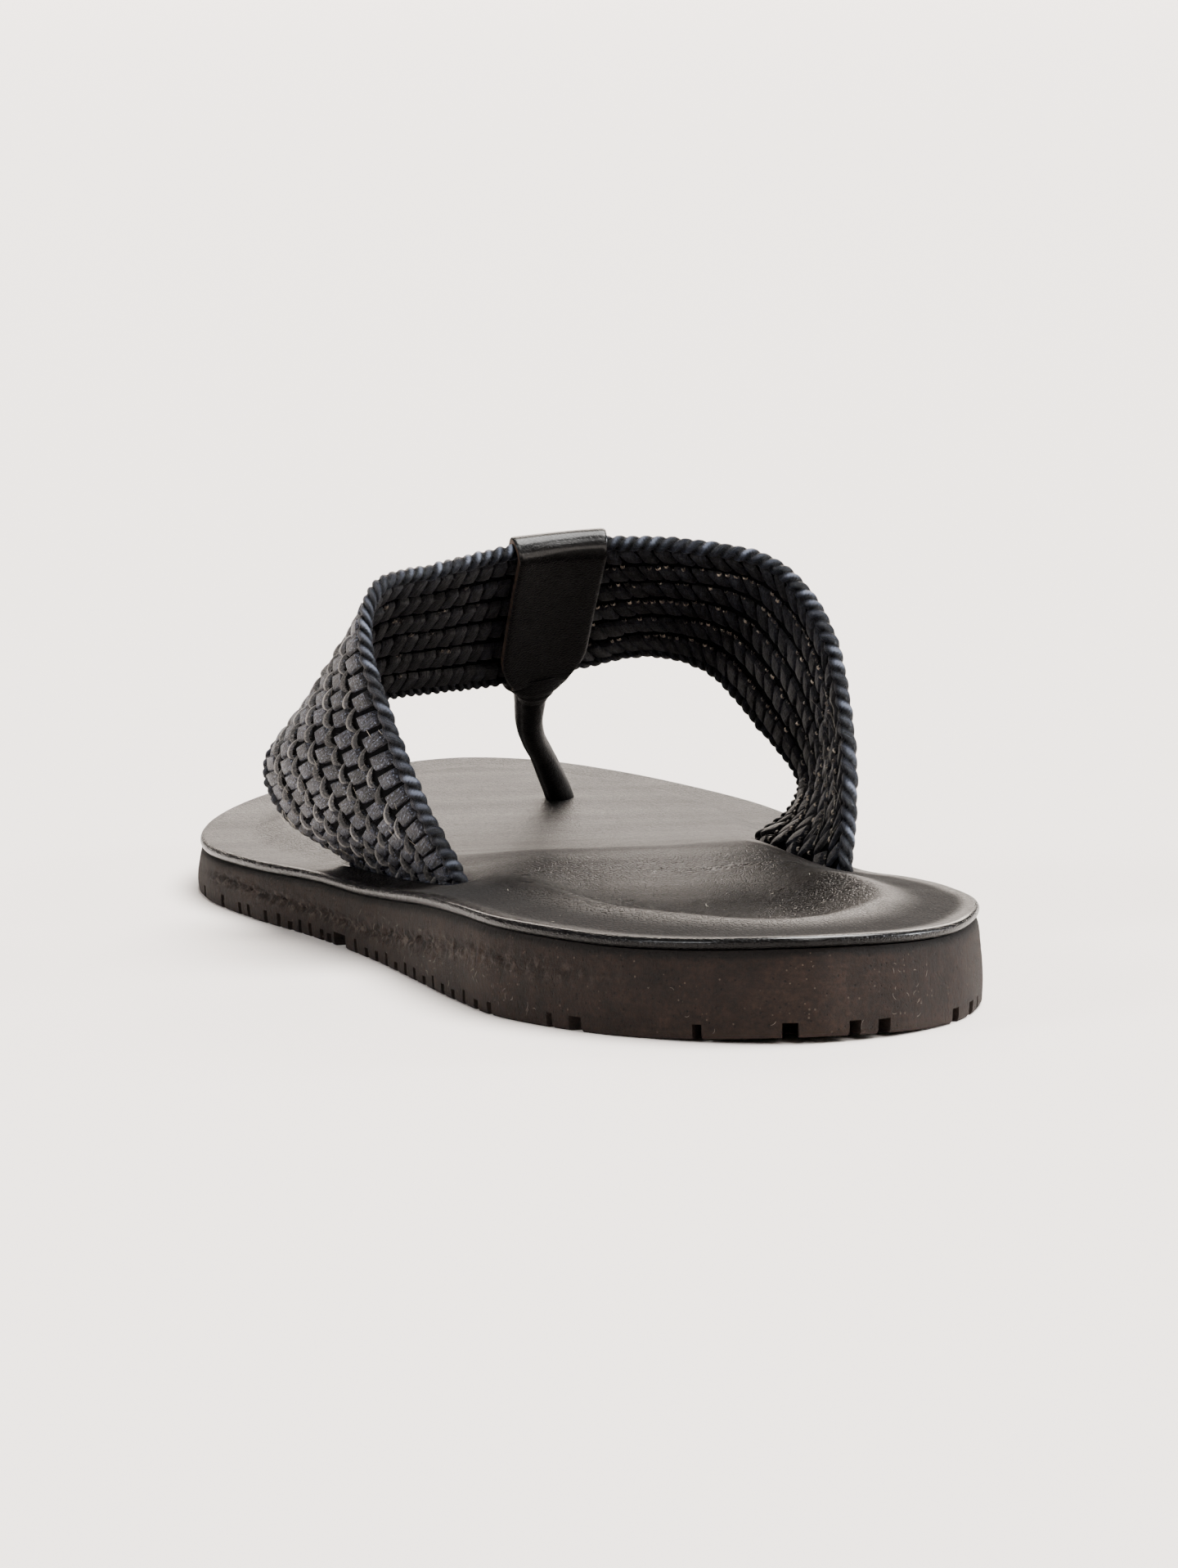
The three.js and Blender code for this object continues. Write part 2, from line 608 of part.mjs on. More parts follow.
// grow widens the post and lengthen carries both its ends on, for the holes that it sits in.
function postSolid(grow, lengthen) {
  const path = new THREE.CatmullRomCurve3(POST.map((row) => new THREE.Vector3(
    row.x * BALL_WIDTH,
    row.y * SOLE_LENGTH,
    row.z * STRAP_HEIGHT,
  )), false, 'centripetal');
  const steps = (POST.length - 1) * 2;
  const rings = [];
  for (let step = 0; step <= steps; step += 1) {
    const share = step / steps;
    const row = Math.min(Math.floor(step / 2), POST.length - 2);
    const size = POST[row].size + (POST[row + 1].size - POST[row].size) * (step / 2 - row);
    const tangent = path.getTangent(share);
    const across = new THREE.Vector3(1, 0, 0).addScaledVector(tangent, -tangent.x).normalize();
    const through = across.clone().cross(tangent).normalize();
    const half = (size * POST_DIAMETER) / 2 + grow;
    const end = (step === steps ? 1 : 0) - (step === 0 ? 1 : 0);
    const centre = path.getPoint(share).addScaledVector(tangent, end * lengthen);
    rings.push(ellipseRing(centre, across, through, half, half));
  }
  return skin(rings);
}

// Pieces
function makeOutsole() {
  let sole = toManifold(outsoleSolid());
  const cutters = [...GROOVES.map(grooveCutter), ...HEEL_NOTCHES.map(heelNotchCutter), ...ribCutters()];
  cutters.forEach((cutter) => {
    sole = sole.subtract(toManifold(cutter));
  });
  return toGeometry(sole);
}

function makeFootbed() {
  let bed = toManifold(footbedSolid());
  const slotShare = 2.4 / (STRAP.length - 1);
  const slots = [
    strapCutter(0, slotShare, OPENING_GAP, HEEL_THICKNESS),
    strapCutter(1 - slotShare, 1, OPENING_GAP, HEEL_THICKNESS),
    postSolid(FIT_GAP, FORE_THICKNESS),
  ];
  slots.forEach((slot) => {
    bed = bed.subtract(toManifold(slot));
  });
  return toGeometry(bed);
}

function makeWrap() {
  const opening = toManifold(strapCutter(WRAP_FROM - 0.02, WRAP_TO + 0.02, OPENING_GAP, 0));
  const leather = toManifold(wrapSleeve(OPENING_GAP + WRAP_LEATHER));
  const socket = toManifold(postSolid(FIT_GAP, FIT_GAP));
  return toGeometry(leather.add(toManifold(collarSolid())).subtract(opening).subtract(socket));
}

function piece(name, geometry, color, roughness) {
  const material = new THREE.MeshStandardMaterial({ color, roughness, metalness: 0 });
  const mesh = new THREE.Mesh(geometry, material);
  mesh.name = name;
  return mesh;
}

const flipFlop = new THREE.Group();
flipFlop.name = 'woven_flip_flop';
flipFlop.position.y = -HEEL_REST * SOLE_LENGTH;
flipFlop.add(piece('outsole', makeOutsole(), RUBBER_BROWN, 0.85));
flipFlop.add(piece('footbed', makeFootbed(), LEATHER_BROWN, 0.5));
flipFlop.add(piece('woven_upper', wovenStrapSolid(), WEAVE_NAVY, 0.7));
flipFlop.add(piece('centre_wrap', makeWrap(), LEATHER_BLACK, 0.4));
flipFlop.add(piece('toe_post', postSolid(0, 0), LEATHER_BLACK, 0.55));

export default flipFlop;
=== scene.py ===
# Woven flip-flop: looks of the left shoe, on the frame of its solids
import math
import bpy
import numpy as np
from mathutils import Matrix, Vector, noise
from mathutils.bvhtree import BVHTree


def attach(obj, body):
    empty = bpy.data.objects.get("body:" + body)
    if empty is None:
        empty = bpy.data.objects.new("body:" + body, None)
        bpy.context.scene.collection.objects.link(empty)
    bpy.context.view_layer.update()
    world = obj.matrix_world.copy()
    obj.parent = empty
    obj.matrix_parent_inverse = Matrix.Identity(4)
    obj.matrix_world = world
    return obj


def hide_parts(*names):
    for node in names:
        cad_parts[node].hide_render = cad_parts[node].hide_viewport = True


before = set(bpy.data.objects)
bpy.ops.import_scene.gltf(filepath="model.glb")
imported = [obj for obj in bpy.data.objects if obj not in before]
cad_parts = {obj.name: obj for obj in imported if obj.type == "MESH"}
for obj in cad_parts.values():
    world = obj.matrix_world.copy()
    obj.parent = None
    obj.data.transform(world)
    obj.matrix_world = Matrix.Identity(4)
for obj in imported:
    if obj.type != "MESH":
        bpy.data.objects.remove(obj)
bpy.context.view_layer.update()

# Sizes in millimetres, as the solids have them. Forms are worked out from the rearmost point of the
# heel and moved onto the shoe's origin when they become meshes.
MM = 0.001
SOLE_LENGTH = 280.0
BALL_WIDTH = 101.0
HEEL_WIDTH = 75.0
HEEL_THICKNESS = 12.8
FORE_THICKNESS = 6.9
TOE_SPRING = 4.5
HEEL_BEVEL = 1.0
HEEL_REST = 0.18
SIDE_FLARE = 0.8
TREAD_DEPTH = 2.2
RIM_RISE = 1.9
RIM_BULGE = 0.5
FOOTBED_LEAST = 2.3
FLANGE_WIDTH = 8.5
PAD_SLOPE_WIDTH = 6.5
DISH_WIDTH = 19.0
ARCH_RISE = 1.2
FLANGE_RISE = 0.50
SLOT_LIP = 0.25
SLOT_HOLLOW = 0.6
POST_PUCKER = 0.35
SIDE_BULGE = 0.35
STRAP_HEIGHT = 62.0
STRAP_WALL = 1.9
EDGE_BEAD = 3.0
WRAP_FROM = 0.468
WRAP_TO = 0.537
COLLAR_BEAD = 0.14
COLLAR_PINCH = 0.07
POST_DIAMETER = 4.2
POST_GROOVE = 0.22
SPINE_FROM = 0.12
SPINE_TO = 0.87

# The leather's inner and outer distance from the strap's middle surface, in the wrap
WRAP_INNER = 1.45
WRAP_OUTER = 2.65
# How far its sides are drawn together at the strap's fore edge, as a share of its width
WRAP_DRAW = 0.46

# The crumbled band round the sole: its middle, how far that waves and its half height (shares of the side)
BAND_MIDDLE = 0.56
BAND_WAVE = 0.10
BAND_HALF = 0.13

# The view: the camera's place from the heel's rearmost point, the ways it looks along and to the right,
# and its focal length in heights of the picture
CAMERA_PLACE = (-297.6, -1251.5, 179.2)
CAMERA_AHEAD = (0.2064, 0.9724, -0.1091)
CAMERA_RIGHT = (0.9779, -0.2087, -0.0104)
CAMERA_FOCUS = 10986.4 / 1917

# Name, where the light comes from, strength, spread in degrees, colour
SUNS = (
    ("key", (0.9, 0.1, 2.6), 9.8, 46, (1.0, 0.98, 0.955)),
    ("fill", (0.7, -2.0, 1.9), 1.35, 30, (1.0, 0.985, 0.97)),
    ("side", (2.6, 0.4, 0.6), 2.2, 12, (0.93, 0.96, 1.0)),
    ("left", (-2.4, -0.8, 1.0), 2.0, 20, (0.96, 0.98, 1.0)),
)
AIR_COLOUR = (1.0, 0.965, 0.93, 1)
AIR_STRENGTH = 0.09

# The pale panel beyond the toes, which the forefoot mirrors: watts, metres and colour
PANEL_POWER = 2150.0
PANEL_PLACE = (3.1, 14.0, 6.65)
PANEL_SIZE = (12.0, 6.3)
PANEL_COLOUR = (1.0, 0.89, 0.79)
FLOOR_HALF = 30.0
FLOOR_COLOUR = (0.95, 0.88, 0.83, 1)

# How fine the smooth forms are
OUTLINE_STEPS = 26
STRAP_STEPS = 48
STRAP_FRAMES = 720
POST_STEPS = 14

# Along (share of length), lateral and medial reach (shares of the width there)
OUTLINE = (
    (0.000, 0.000, 0.000),
    (0.012, 0.145, 0.155),
    (0.035, 0.252, 0.268),
    (0.070, 0.363, 0.369),
    (0.143, 0.488, 0.472),
    (0.214, 0.524, 0.483),
    (0.300, 0.544, 0.472),
    (0.390, 0.535, 0.444),
    (0.500, 0.509, 0.418),
    (0.600, 0.518, 0.434),
    (0.700, 0.537, 0.463),
    (0.790, 0.498, 0.451),
    (0.870, 0.401, 0.386),
    (0.940, 0.252, 0.287),
    (0.985, 0.085, 0.172),
    (1.000, -0.045, 0.045),
)

# Along, share of the heel's extra thickness
STEP_DOWN = (
    (0.00, 1.00), (0.25, 0.93), (0.30, 0.79), (0.36, 0.56), (0.43, 0.35),
    (0.50, 0.29), (0.60, 0.13), (0.70, 0.03), (0.85, 0.00), (1.00, -0.08),
)

# Along, ring height, middle height (in rim rises)
CONTOUR = (
    (0.00, 0.60, -0.60), (0.10, 0.72, -1.40), (0.18, 0.75, -1.60), (0.26, 0.80, -1.00),
    (0.32, 0.95, 0.20), (0.385, 1.65, 2.20), (0.42, 1.85, 2.35), (0.50, 1.10, 1.10),
    (0.60, 0.80, 0.80), (0.75, 1.10, 1.25), (0.90, 0.80, 0.95), (1.00, 0.30, 0.30),
)

# Rear edge x, y, z, fore edge x, y, z (shares of ball width, length and strap height), bow (walls)
STRAP = (
    (-0.312, 0.339, 0.182, -0.381, 0.530, 0.144, 0.0),
    (-0.315, 0.341, 0.223, -0.386, 0.532, 0.181, 0.2),
    (-0.361, 0.364, 0.410, -0.482, 0.549, 0.298, 0.8),
    (-0.397, 0.386, 0.605, -0.504, 0.561, 0.418, 1.1),
    (-0.422, 0.409, 0.808, -0.424, 0.577, 0.532, 0.8),
    (-0.394, 0.428, 0.926, -0.321, 0.594, 0.568, 0.3),
    (-0.277, 0.462, 0.958, -0.208, 0.614, 0.577, 0.2),
    (-0.144, 0.491, 0.986, -0.104, 0.630, 0.581, 0.2),
    (0.000, 0.496, 1.000, 0.036, 0.632, 0.619, 0.2),
    (0.134, 0.479, 0.992, 0.139, 0.612, 0.655, 0.4),
    (0.252, 0.452, 0.945, 0.230, 0.593, 0.615, 0.6),
    (0.310, 0.416, 0.790, 0.300, 0.573, 0.477, 0.6),
    (0.322, 0.386, 0.540, 0.364, 0.561, 0.320, 0.2),
    (0.308, 0.361, 0.347, 0.342, 0.564, 0.240, 0.2),
    (0.293, 0.347, 0.226, 0.293, 0.561, 0.185, 0.0),
    (0.293, 0.347, 0.182, 0.293, 0.561, 0.144, 0.0),
)

# x, y, z (shares of ball width, length and strap height), size (post diameters)
POST = (
    (-0.033, 0.646, 0.565, 1.28),
    (-0.026, 0.657, 0.531, 1.28),
    (-0.014, 0.682, 0.455, 1.08),
    (0.005, 0.704, 0.398, 0.98),
    (0.033, 0.729, 0.342, 0.96),
    (0.062, 0.755, 0.277, 1.06),
    (0.091, 0.783, 0.211, 1.12),
    (0.103, 0.795, 0.177, 1.12),
    (0.107, 0.799, 0.140, 1.12),
)

# Past the strap's fore edge, across, through (post diameters)
COLLAR = (
    (-0.70, 2.90, 1.25),
    (0.05, 2.80, 1.36),
    (0.38, 2.30, 1.42),
    (0.68, 1.72, 1.40),
    (1.00, 1.44, 1.38),
    (1.35, 1.33, 1.33),
)

# Along, width of the grooves across the tread
GROOVES = (
    (0.071, 2.4), (0.090, 1.2), (0.449, 6.0), (0.501, 1.4), (0.550, 1.4), (0.598, 1.4), (0.648, 1.6),
    (0.697, 1.6), (0.747, 1.6), (0.797, 1.6), (0.847, 1.6), (0.897, 1.6), (0.943, 1.6),
)
GROOVE_CHEVRON = 4.0
HEEL_NOTCHES = ((-0.195, 1.5), (-0.037, 2.4), (0.094, 2.0), (0.153, 2.3), (0.337, 2.6))
HEEL_NOTCH_REACH = 7.0
RIB_FROM = 0.155
RIB_TO = 0.425
RIB_COUNT = 14
RIB_WIDTH = 1.6
RIB_INSET = 2.6
RIB_HEIGHT = 1.9
# Short slits between the fore grooves, along
SIDE_SLITS = (0.473, 0.486, 0.522, 0.537, 0.573, 0.618)

# The weave: strand patches in columns along the strap, and slanting strands between the columns.
# Tiles are drawn for a column of TILE_COLUMN and stretched to the strap's own.
TILE_COLUMN = 4.15
WEFT_LEAN = 0.36
COLUMNS = 6
PATCH_PITCH = 2.7
PATCH_WIDE = 3.40
PATCH_TALL = 2.50
SLANT_LONG = 4.0
SLANT_WIDE = 0.54
CORE_HALF = 0.40
PATCH_LIFT = 0.95
SLANT_LIFT = 1.30
ROPE_PITCH = 1.95
ROPE_LOBE = 0.46
ROPE_SIZE = 2.45
ROPE_CHANCES = 400
DASH_LONG = 0.72
DASH_WIDE = 0.44
# The inner face: its patches' width as a share of the outer ones', and the shares of the dashes (pale strands
# with painted glints) that show past a place along the strap and before it
INNER_WIDTH = 0.84
DASHES_FROM = 0.54
DASHES_PAST = 0.66
DASHES_BEFORE = 0.12
# How far loose fibres lie over the strap's middle surface
FIBRE_LIFT = 1.28


# Numbers and curves
def smooth(low, high, value):
    share = np.clip((np.asarray(value, float) - low) / (high - low), 0, 1)
    return share * share * (3 - 2 * share)


def look_up(table, column, along):
    """A table's column at places along it, eased from row to row."""
    places = np.array([row[0] for row in table])
    values = np.array([row[column] for row in table])
    along = np.clip(along, places[0], places[-1])
    after = np.clip(np.searchsorted(places, along), 1, len(places) - 1)
    share = smooth(0, 1, (along - places[after - 1]) / (places[after] - places[after - 1]))
    return values[after - 1] + (values[after] - values[after - 1]) * share


def flow(table, column, along):
    """A table's column at places along it, on one curve with no steps at its rows."""
    places = np.array([row[0] for row in table])
    values = np.array([row[column] for row in table])
    slopes = np.gradient(values, places)
    along = np.clip(along, places[0], places[-1])
    after = np.clip(np.searchsorted(places, along), 1, len(places) - 1)
    span = places[after] - places[after - 1]
    share = (along - places[after - 1]) / span
    rising = share * share * (3 - 2 * share)
    bend = span * share * (1 - share) * (slopes[after - 1] * (1 - share) - slopes[after] * share)
    return values[after - 1] + (values[after] - values[after - 1]) * rising + bend


def smooth_curve(corners, steps, closed):
    """A centripetal curve through the corners, with so many steps between two of them."""
    corners = np.asarray(corners, float)
    count = len(corners)
    shares = np.arange(steps)[:, None] / steps
    spans = []
    for i in range(count if closed else count - 1):
        here, there = corners[i], corners[(i + 1) % count]
        before = corners[i - 1] if closed or i > 0 else 2 * corners[0] - corners[1]
        beyond = corners[(i + 2) % count] if closed or i < count - 2 else 2 * corners[-1] - corners[-2]
        gaps = ((before, here), (here, there), (there, beyond))
        a, b, c = (max(np.linalg.norm(stop - start), 1e-6) ** 0.5 for start, stop in gaps)
        out = ((here - before) / a - (there - before) / (a + b) + (there - here) / b) * b
        into = ((there - here) / b - (beyond - here) / (b + c) + (beyond - there) / c) * b
        spans.append(here + out * shares + (3 * (there - here) - 2 * out - into) * shares ** 2
                     + (2 * (here - there) + out + into) * shares ** 3)
    curve = np.concatenate(spans)
    return curve if closed else np.vstack([curve, corners[-1:]])


def unit(vectors):
    return vectors / np.maximum(np.linalg.norm(vectors, axis=-1, keepdims=True), 1e-12)


def length_along(points):
    """The length of a line of points from its start to each of them."""
    return np.concatenate([[0], np.cumsum(np.linalg.norm(np.diff(points, axis=0), axis=1))])


# Meshes
def new_object(name, data):
    piece = bpy.data.objects.new(name, data)
    bpy.context.scene.collection.objects.link(piece)
    return piece


def dress_mesh(mesh, attributes):
    """Sets a mesh's point attributes, numbers or vectors, and its smooth shading."""
    for key, values in attributes.items():
        values = np.asarray(values, float)
        kind, field = ("FLOAT", "value") if values.ndim == 1 else ("FLOAT_VECTOR", "vector")
        mesh.attributes.new(key, kind, "POINT").data.foreach_set(field, values.ravel())
    mesh.polygons.foreach_set("use_smooth", np.ones(len(mesh.polygons), bool))


def make_mesh(name, points, faces, materials, slots=None, attributes=None):
    """An object from points in millimetres, smooth shaded, standing on the shoe's own frame."""
    places = (np.asarray(points, float) - (0, HEEL_REST * SOLE_LENGTH, 0)) * MM
    mesh = bpy.data.meshes.new(name)
    mesh.from_pydata(places.tolist(), [], [list(map(int, face)) for face in faces])
    for material in materials:
        mesh.materials.append(material)
    if slots is not None:
        mesh.polygons.foreach_set("material_index", np.asarray(slots, np.int32))
    dress_mesh(mesh, attributes or {})
    mesh.update()
    return new_object(name, mesh)


def outward(points, faces):
    """The faces, turned so that they point out of the closed form."""
    corners = np.asarray(points)[np.array([face[:3] for face in faces])]
    volume = np.einsum("ij,ij->i", corners[:, 0], np.cross(corners[:, 1], corners[:, 2])).sum()
    return faces if volume > 0 else [face[::-1] for face in faces]


def rows_of_faces(count, size, closed):
    """Four-sided faces between rings of points, back to the first ring where it is closed."""
    grid = np.arange(count * size).reshape(count, size)
    turned = np.roll(grid, -1, axis=1)
    faces = np.stack([grid, turned, np.roll(turned, -1, axis=0), np.roll(grid, -1, axis=0)], -1)
    return (faces if closed else faces[:-1]).reshape(-1, 4).tolist()


def skin(rings, fold=0):
    """Joins rings into a closed skin, each end zipped shut between points whose numbers add up to fold."""
    rings = np.asarray(rings, float)
    count, size = rings.shape[:2]
    faces = rows_of_faces(count, size, False)
    first = -(-fold // 2)
    zips = size // 2 if fold % 2 == 0 else size // 2 - 1
    for start, flip in ((0, True), ((count - 1) * size, False)):
        for step in range(zips):
            here, following = (first + step) % size, (first + step + 1) % size
            corners = [here, following, (fold - following) % size, (fold - here) % size]
            face = [start + c for c in dict.fromkeys(corners)]
            faces.append(face[::-1] if flip else face)
    points = rings.reshape(-1, 3)
    return points, outward(points, faces)


def settle(piece):
    """Leaves a plain mesh in the place of a piece's modifiers."""
    depsgraph = bpy.context.evaluated_depsgraph_get()
    shown = piece.evaluated_get(depsgraph)
    mesh = bpy.data.meshes.new_from_object(shown, preserve_all_data_layers=True, depsgraph=depsgraph)
    piece.modifiers.clear()
    piece.data = mesh
    return mesh


def finish_piece(piece, slot, *nodes):
    """Hangs a finished piece under the root body and hides the solids it stands for. The slot is not used."""
    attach(piece, "root")
    if nodes:
        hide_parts(*nodes)
    return piece


# Camera and light
def make_camera():
    """The photograph's view: behind the heel, twelve degrees to the left, six over the floor."""
    x, y, z = CAMERA_PLACE
    place = Vector((x, y - HEEL_REST * SOLE_LENGTH, z)) * MM
    forward = Vector(CAMERA_AHEAD).normalized()
    right = Vector(CAMERA_RIGHT)
    right = (right - forward * right.dot(forward)).normalized()
    up = right.cross(forward)
    data = bpy.data.cameras.new("view")
    data.sensor_fit = "VERTICAL"
    data.sensor_height = 24.0
    data.lens = CAMERA_FOCUS * data.sensor_height
    data.clip_end = 100
    camera = new_object("view", data)
    camera.matrix_world = Matrix((
        (right.x, up.x, -forward.x, place.x),
        (right.y, up.y, -forward.y, place.y),
        (right.z, up.z, -forward.z, place.z),
        (0, 0, 0, 1),
    ))
    bpy.context.scene.camera = camera


def make_lamp(name, kind, power, colour, turn):
    data = bpy.data.lights.new(name, kind)
    data.energy = power
    data.color = colour
    lamp = new_object(name, data)
    lamp.rotation_euler = turn.to_euler()
    return lamp


def make_light():
    world = bpy.data.worlds.new("studio")
    world.use_nodes = True
    background = world.node_tree.nodes["Background"]
    background.inputs["Color"].default_value = AIR_COLOUR
    background.inputs["Strength"].default_value = AIR_STRENGTH
    bpy.context.scene.world = world
    for name, place, strength, angle, colour in SUNS:
        sun = make_lamp(name, "SUN", strength, colour, Vector(place).to_track_quat("Z", "Y"))
        sun.data.angle = math.radians(angle)
    towards = Vector(PANEL_PLACE)
    panel = make_lamp("far panel", "AREA", PANEL_POWER, PANEL_COLOUR, (-towards).to_track_quat("-Z", "Y"))
    panel.location = towards
    panel.data.shape = "RECTANGLE"
    panel.data.size, panel.data.size_y = PANEL_SIZE


def make_floor():
    corners = [(x * FLOOR_HALF, y * FLOOR_HALF, 0) for x, y in ((-1, -1), (1, -1), (1, 1), (-1, 1))]
    mesh = bpy.data.meshes.new("floor")
    mesh.from_pydata(corners, [], [(0, 1, 2, 3)])
    material = bpy.data.materials.new("pale paper")
    material.use_nodes = True
    shader = material.node_tree.nodes["Principled BSDF"]
    shader.inputs["Base Color"].default_value = FLOOR_COLOUR
    shader.inputs["Roughness"].default_value = 0.9
    shader.inputs["Specular IOR Level"].default_value = 0.1
    mesh.materials.append(material)
    floor = new_object("floor", mesh)


# Shader building
def add(tree, kind, sockets=None, **settings):
    node = tree.nodes.new(kind)
    for key, value in settings.items():
        setattr(node, key, value)
    for key, value in (sockets or {}).items():
        if isinstance(value, bpy.types.NodeSocket):
            tree.links.new(value, node.inputs[key])
        else:
            node.inputs[key].default_value = value
    return node


def math_node(tree, operation, first, second=0.0, clamp=False):
    return add(tree, "ShaderNodeMath", {0: first, 1: second}, operation=operation, use_clamp=clamp).outputs[0]


def times(tree, first, *others):
    for other in others:
        first = math_node(tree, "MULTIPLY", first, other)
    return first


def plus(tree, first, *others):
    for other in others:
        first = math_node(tree, "ADD", first, other)
    return first


def noise_at(tree, place, scale, detail, roughness=0.5):
    sockets = {"Vector": place, "Scale": scale, "Detail": detail, "Roughness": roughness}
    return add(tree, "ShaderNodeTexNoise", sockets).outputs["Fac"]


def stretched(tree, place, scale):
    return add(tree, "ShaderNodeMapping", {"Vector": place, "Scale": scale}).outputs[0]


def eased(tree, value, low, high):
    """A value as a mask: 0 at low, 1 at high and soft between them."""
    sockets = {"Value": value, "From Min": low, "From Max": high}
    return add(tree, "ShaderNodeMapRange", sockets, interpolation_type="SMOOTHSTEP").outputs["Result"]


def between(tree, value, low, high):
    """A mask as a value: low at 0 and high at 1."""
    return add(tree, "ShaderNodeMapRange", {"Value": value, "To Min": low, "To Max": high}).outputs["Result"]


def ramp(tree, value, stops):
    node = add(tree, "ShaderNodeValToRGB", {"Fac": value})
    elements = node.color_ramp.elements
    while len(elements) < len(stops):
        elements.new(0.5)
    for element, (position, colour) in zip(elements, stops):
        element.position = position
        shade = (colour, colour, colour) if isinstance(colour, float) else colour
        element.color = (*shade, 1)
    return node.outputs["Color"]


def blend_colour(tree, factor, first, second, mode="MIX"):
    node = add(tree, "ShaderNodeMix", data_type="RGBA", blend_type=mode)
    for key, value in ((0, factor), (6, first), (7, second)):
        if isinstance(value, bpy.types.NodeSocket):
            tree.links.new(value, node.inputs[key])
        elif key == 0:
            node.inputs[0].default_value = value
        else:
            node.inputs[key].default_value = (*value, 1)
    return node.outputs[2]


def new_group(name, inputs, outputs, group_kind="ShaderNodeTree", output_kind="Float"):
    """A node group: inputs with their kind or default number, outputs by name."""
    group = bpy.data.node_groups.new(name, group_kind)
    for key, given in inputs.items():
        kind = given if isinstance(given, str) else "Int" if isinstance(given, int) else "Float"
        socket = group.interface.new_socket(key, in_out="INPUT", socket_type=f"NodeSocket{kind}")
        if kind is not given:
            socket.default_value = given
    for key in outputs:
        group.interface.new_socket(key, in_out="OUTPUT", socket_type=f"NodeSocket{output_kind}")
    return group, add(group, "NodeGroupInput").outputs


def give_out(group, values):
    add(group, "NodeGroupOutput", values)
    return group


def use_group(tree, group, **values):
    sockets = {key.replace("_", " "): value for key, value in values.items()}
    return add(tree, "ShaderNodeGroup", sockets, node_tree=group).outputs


def make_grain_group():
    """Leather grain: small pebbles with creases between them, over broad soft unevenness."""
    inputs = {"Place": "Vector", "Pebbles": 1100.0, "Unevenness": 60.0, "Depth": 1.0}
    group, given = new_group("leather grain", inputs, ("Height", "Crease", "Cloud"))
    place = given["Place"]
    warp = add(group, "ShaderNodeTexNoise", {"Vector": place, "Scale": 420.0, "Detail": 2.0}).outputs["Color"]
    moved = add(group, "ShaderNodeVectorMath", {0: warp, 3: 0.0016}, operation="SCALE").outputs[0]
    warped = add(group, "ShaderNodeVectorMath", {0: place, 1: moved}, operation="ADD").outputs[0]
    pebbles = {"Vector": warped, "Scale": given["Pebbles"]}
    cells = add(group, "ShaderNodeTexVoronoi", pebbles, feature="DISTANCE_TO_EDGE")
    crease = eased(group, cells.outputs["Distance"], 0.0, 0.22)
    cloud = noise_at(group, place, given["Unevenness"], 5.0, 0.6)
    fine = noise_at(group, place, 3600.0, 2.0)
    height = plus(group, times(group, crease, 0.75), times(group, fine, 0.35), times(group, cloud, 0.9))
    height = times(group, height, given["Depth"])
    return give_out(group, {"Height": height, "Crease": crease, "Cloud": cloud})


def make_strand_group():
    """A flat strand's crumpled fibres: long streaks, crinkles across them and bright flecks that paint in
    their sparkle.
    """
    inputs = {"Along": "Vector", "Shade": 0.5, "Streaks": 1.0, "Crinkle": 1.0}
    group, given = new_group("strand fibres", inputs, ("Tone", "Fleck", "Height"))
    shifts = {"X": times(group, given["Shade"], 91.0), "Y": times(group, given["Shade"], 37.0)}
    offset = add(group, "ShaderNodeCombineXYZ", shifts).outputs[0]
    place = add(group, "ShaderNodeVectorMath", {0: given["Along"], 1: offset}, operation="ADD").outputs[0]
    streaks = noise_at(group, stretched(group, place, (0.45, 3.0, 1.0)), 1.0, 4.0, 0.65)
    crinkle = noise_at(group, place, 1.7, 5.0, 0.72)
    tone = plus(group, times(group, streaks, given["Streaks"]), times(group, crinkle, given["Crinkle"]))
    tone = times(group, tone, 0.5)
    # Bright flecks: painted sparkle of the crinkled fibres
    fleck = eased(group, noise_at(group, place, 3.6, 3.0), 0.56, 0.68)
    height = plus(group, times(group, streaks, 0.8), crinkle)
    return give_out(group, {"Tone": tone, "Fleck": fleck, "Height": height})


def make_dust_group():
    """Fine pale dust and short lint that lies in patches."""
    group, given = new_group("dust and lint", {"Place": "Vector", "Amount": 0.5}, ("Mask",))
    place = given["Place"]
    specks = add(group, "ShaderNodeTexVoronoi", {"Vector": place, "Scale": 900.0, "Randomness": 1.0})
    near = eased(group, specks.outputs["Distance"], 0.16, 0.05)
    chosen = eased(group, noise_at(group, place, 130.0, 3.0), 0.52, 0.70)
    mask = math_node(group, "MULTIPLY", times(group, near, chosen), given["Amount"], clamp=True)
    return give_out(group, {"Mask": mask})


def new_material(name):
    material = bpy.data.materials.new(name)
    material.use_nodes = True
    tree = material.node_tree
    place = add(tree, "ShaderNodeTexCoord").outputs["Object"]
    return material, tree, tree.nodes["Principled BSDF"], place


def mask_of(tree, name):
    return add(tree, "ShaderNodeAttribute", attribute_name=name).outputs["Fac"]


def vector_of(tree, name):
    return add(tree, "ShaderNodeAttribute", attribute_name=name).outputs["Vector"]


def dusted(tree, dust, place, amount, base, colour):
    return blend_colour(tree, use_group(tree, dust, Place=place, Amount=amount)["Mask"], base, colour)


def dress(tree, shader, colour, roughness, gloss=None):
    """Sets the colour and roughness of a shader, by a number or a socket, and its gloss."""
    tree.links.new(colour, shader.inputs["Base Color"])
    if isinstance(roughness, bpy.types.NodeSocket):
        tree.links.new(roughness, shader.inputs["Roughness"])
    else:
        shader.inputs["Roughness"].default_value = roughness
    if gloss is not None:
        shader.inputs["Specular IOR Level"].default_value = gloss


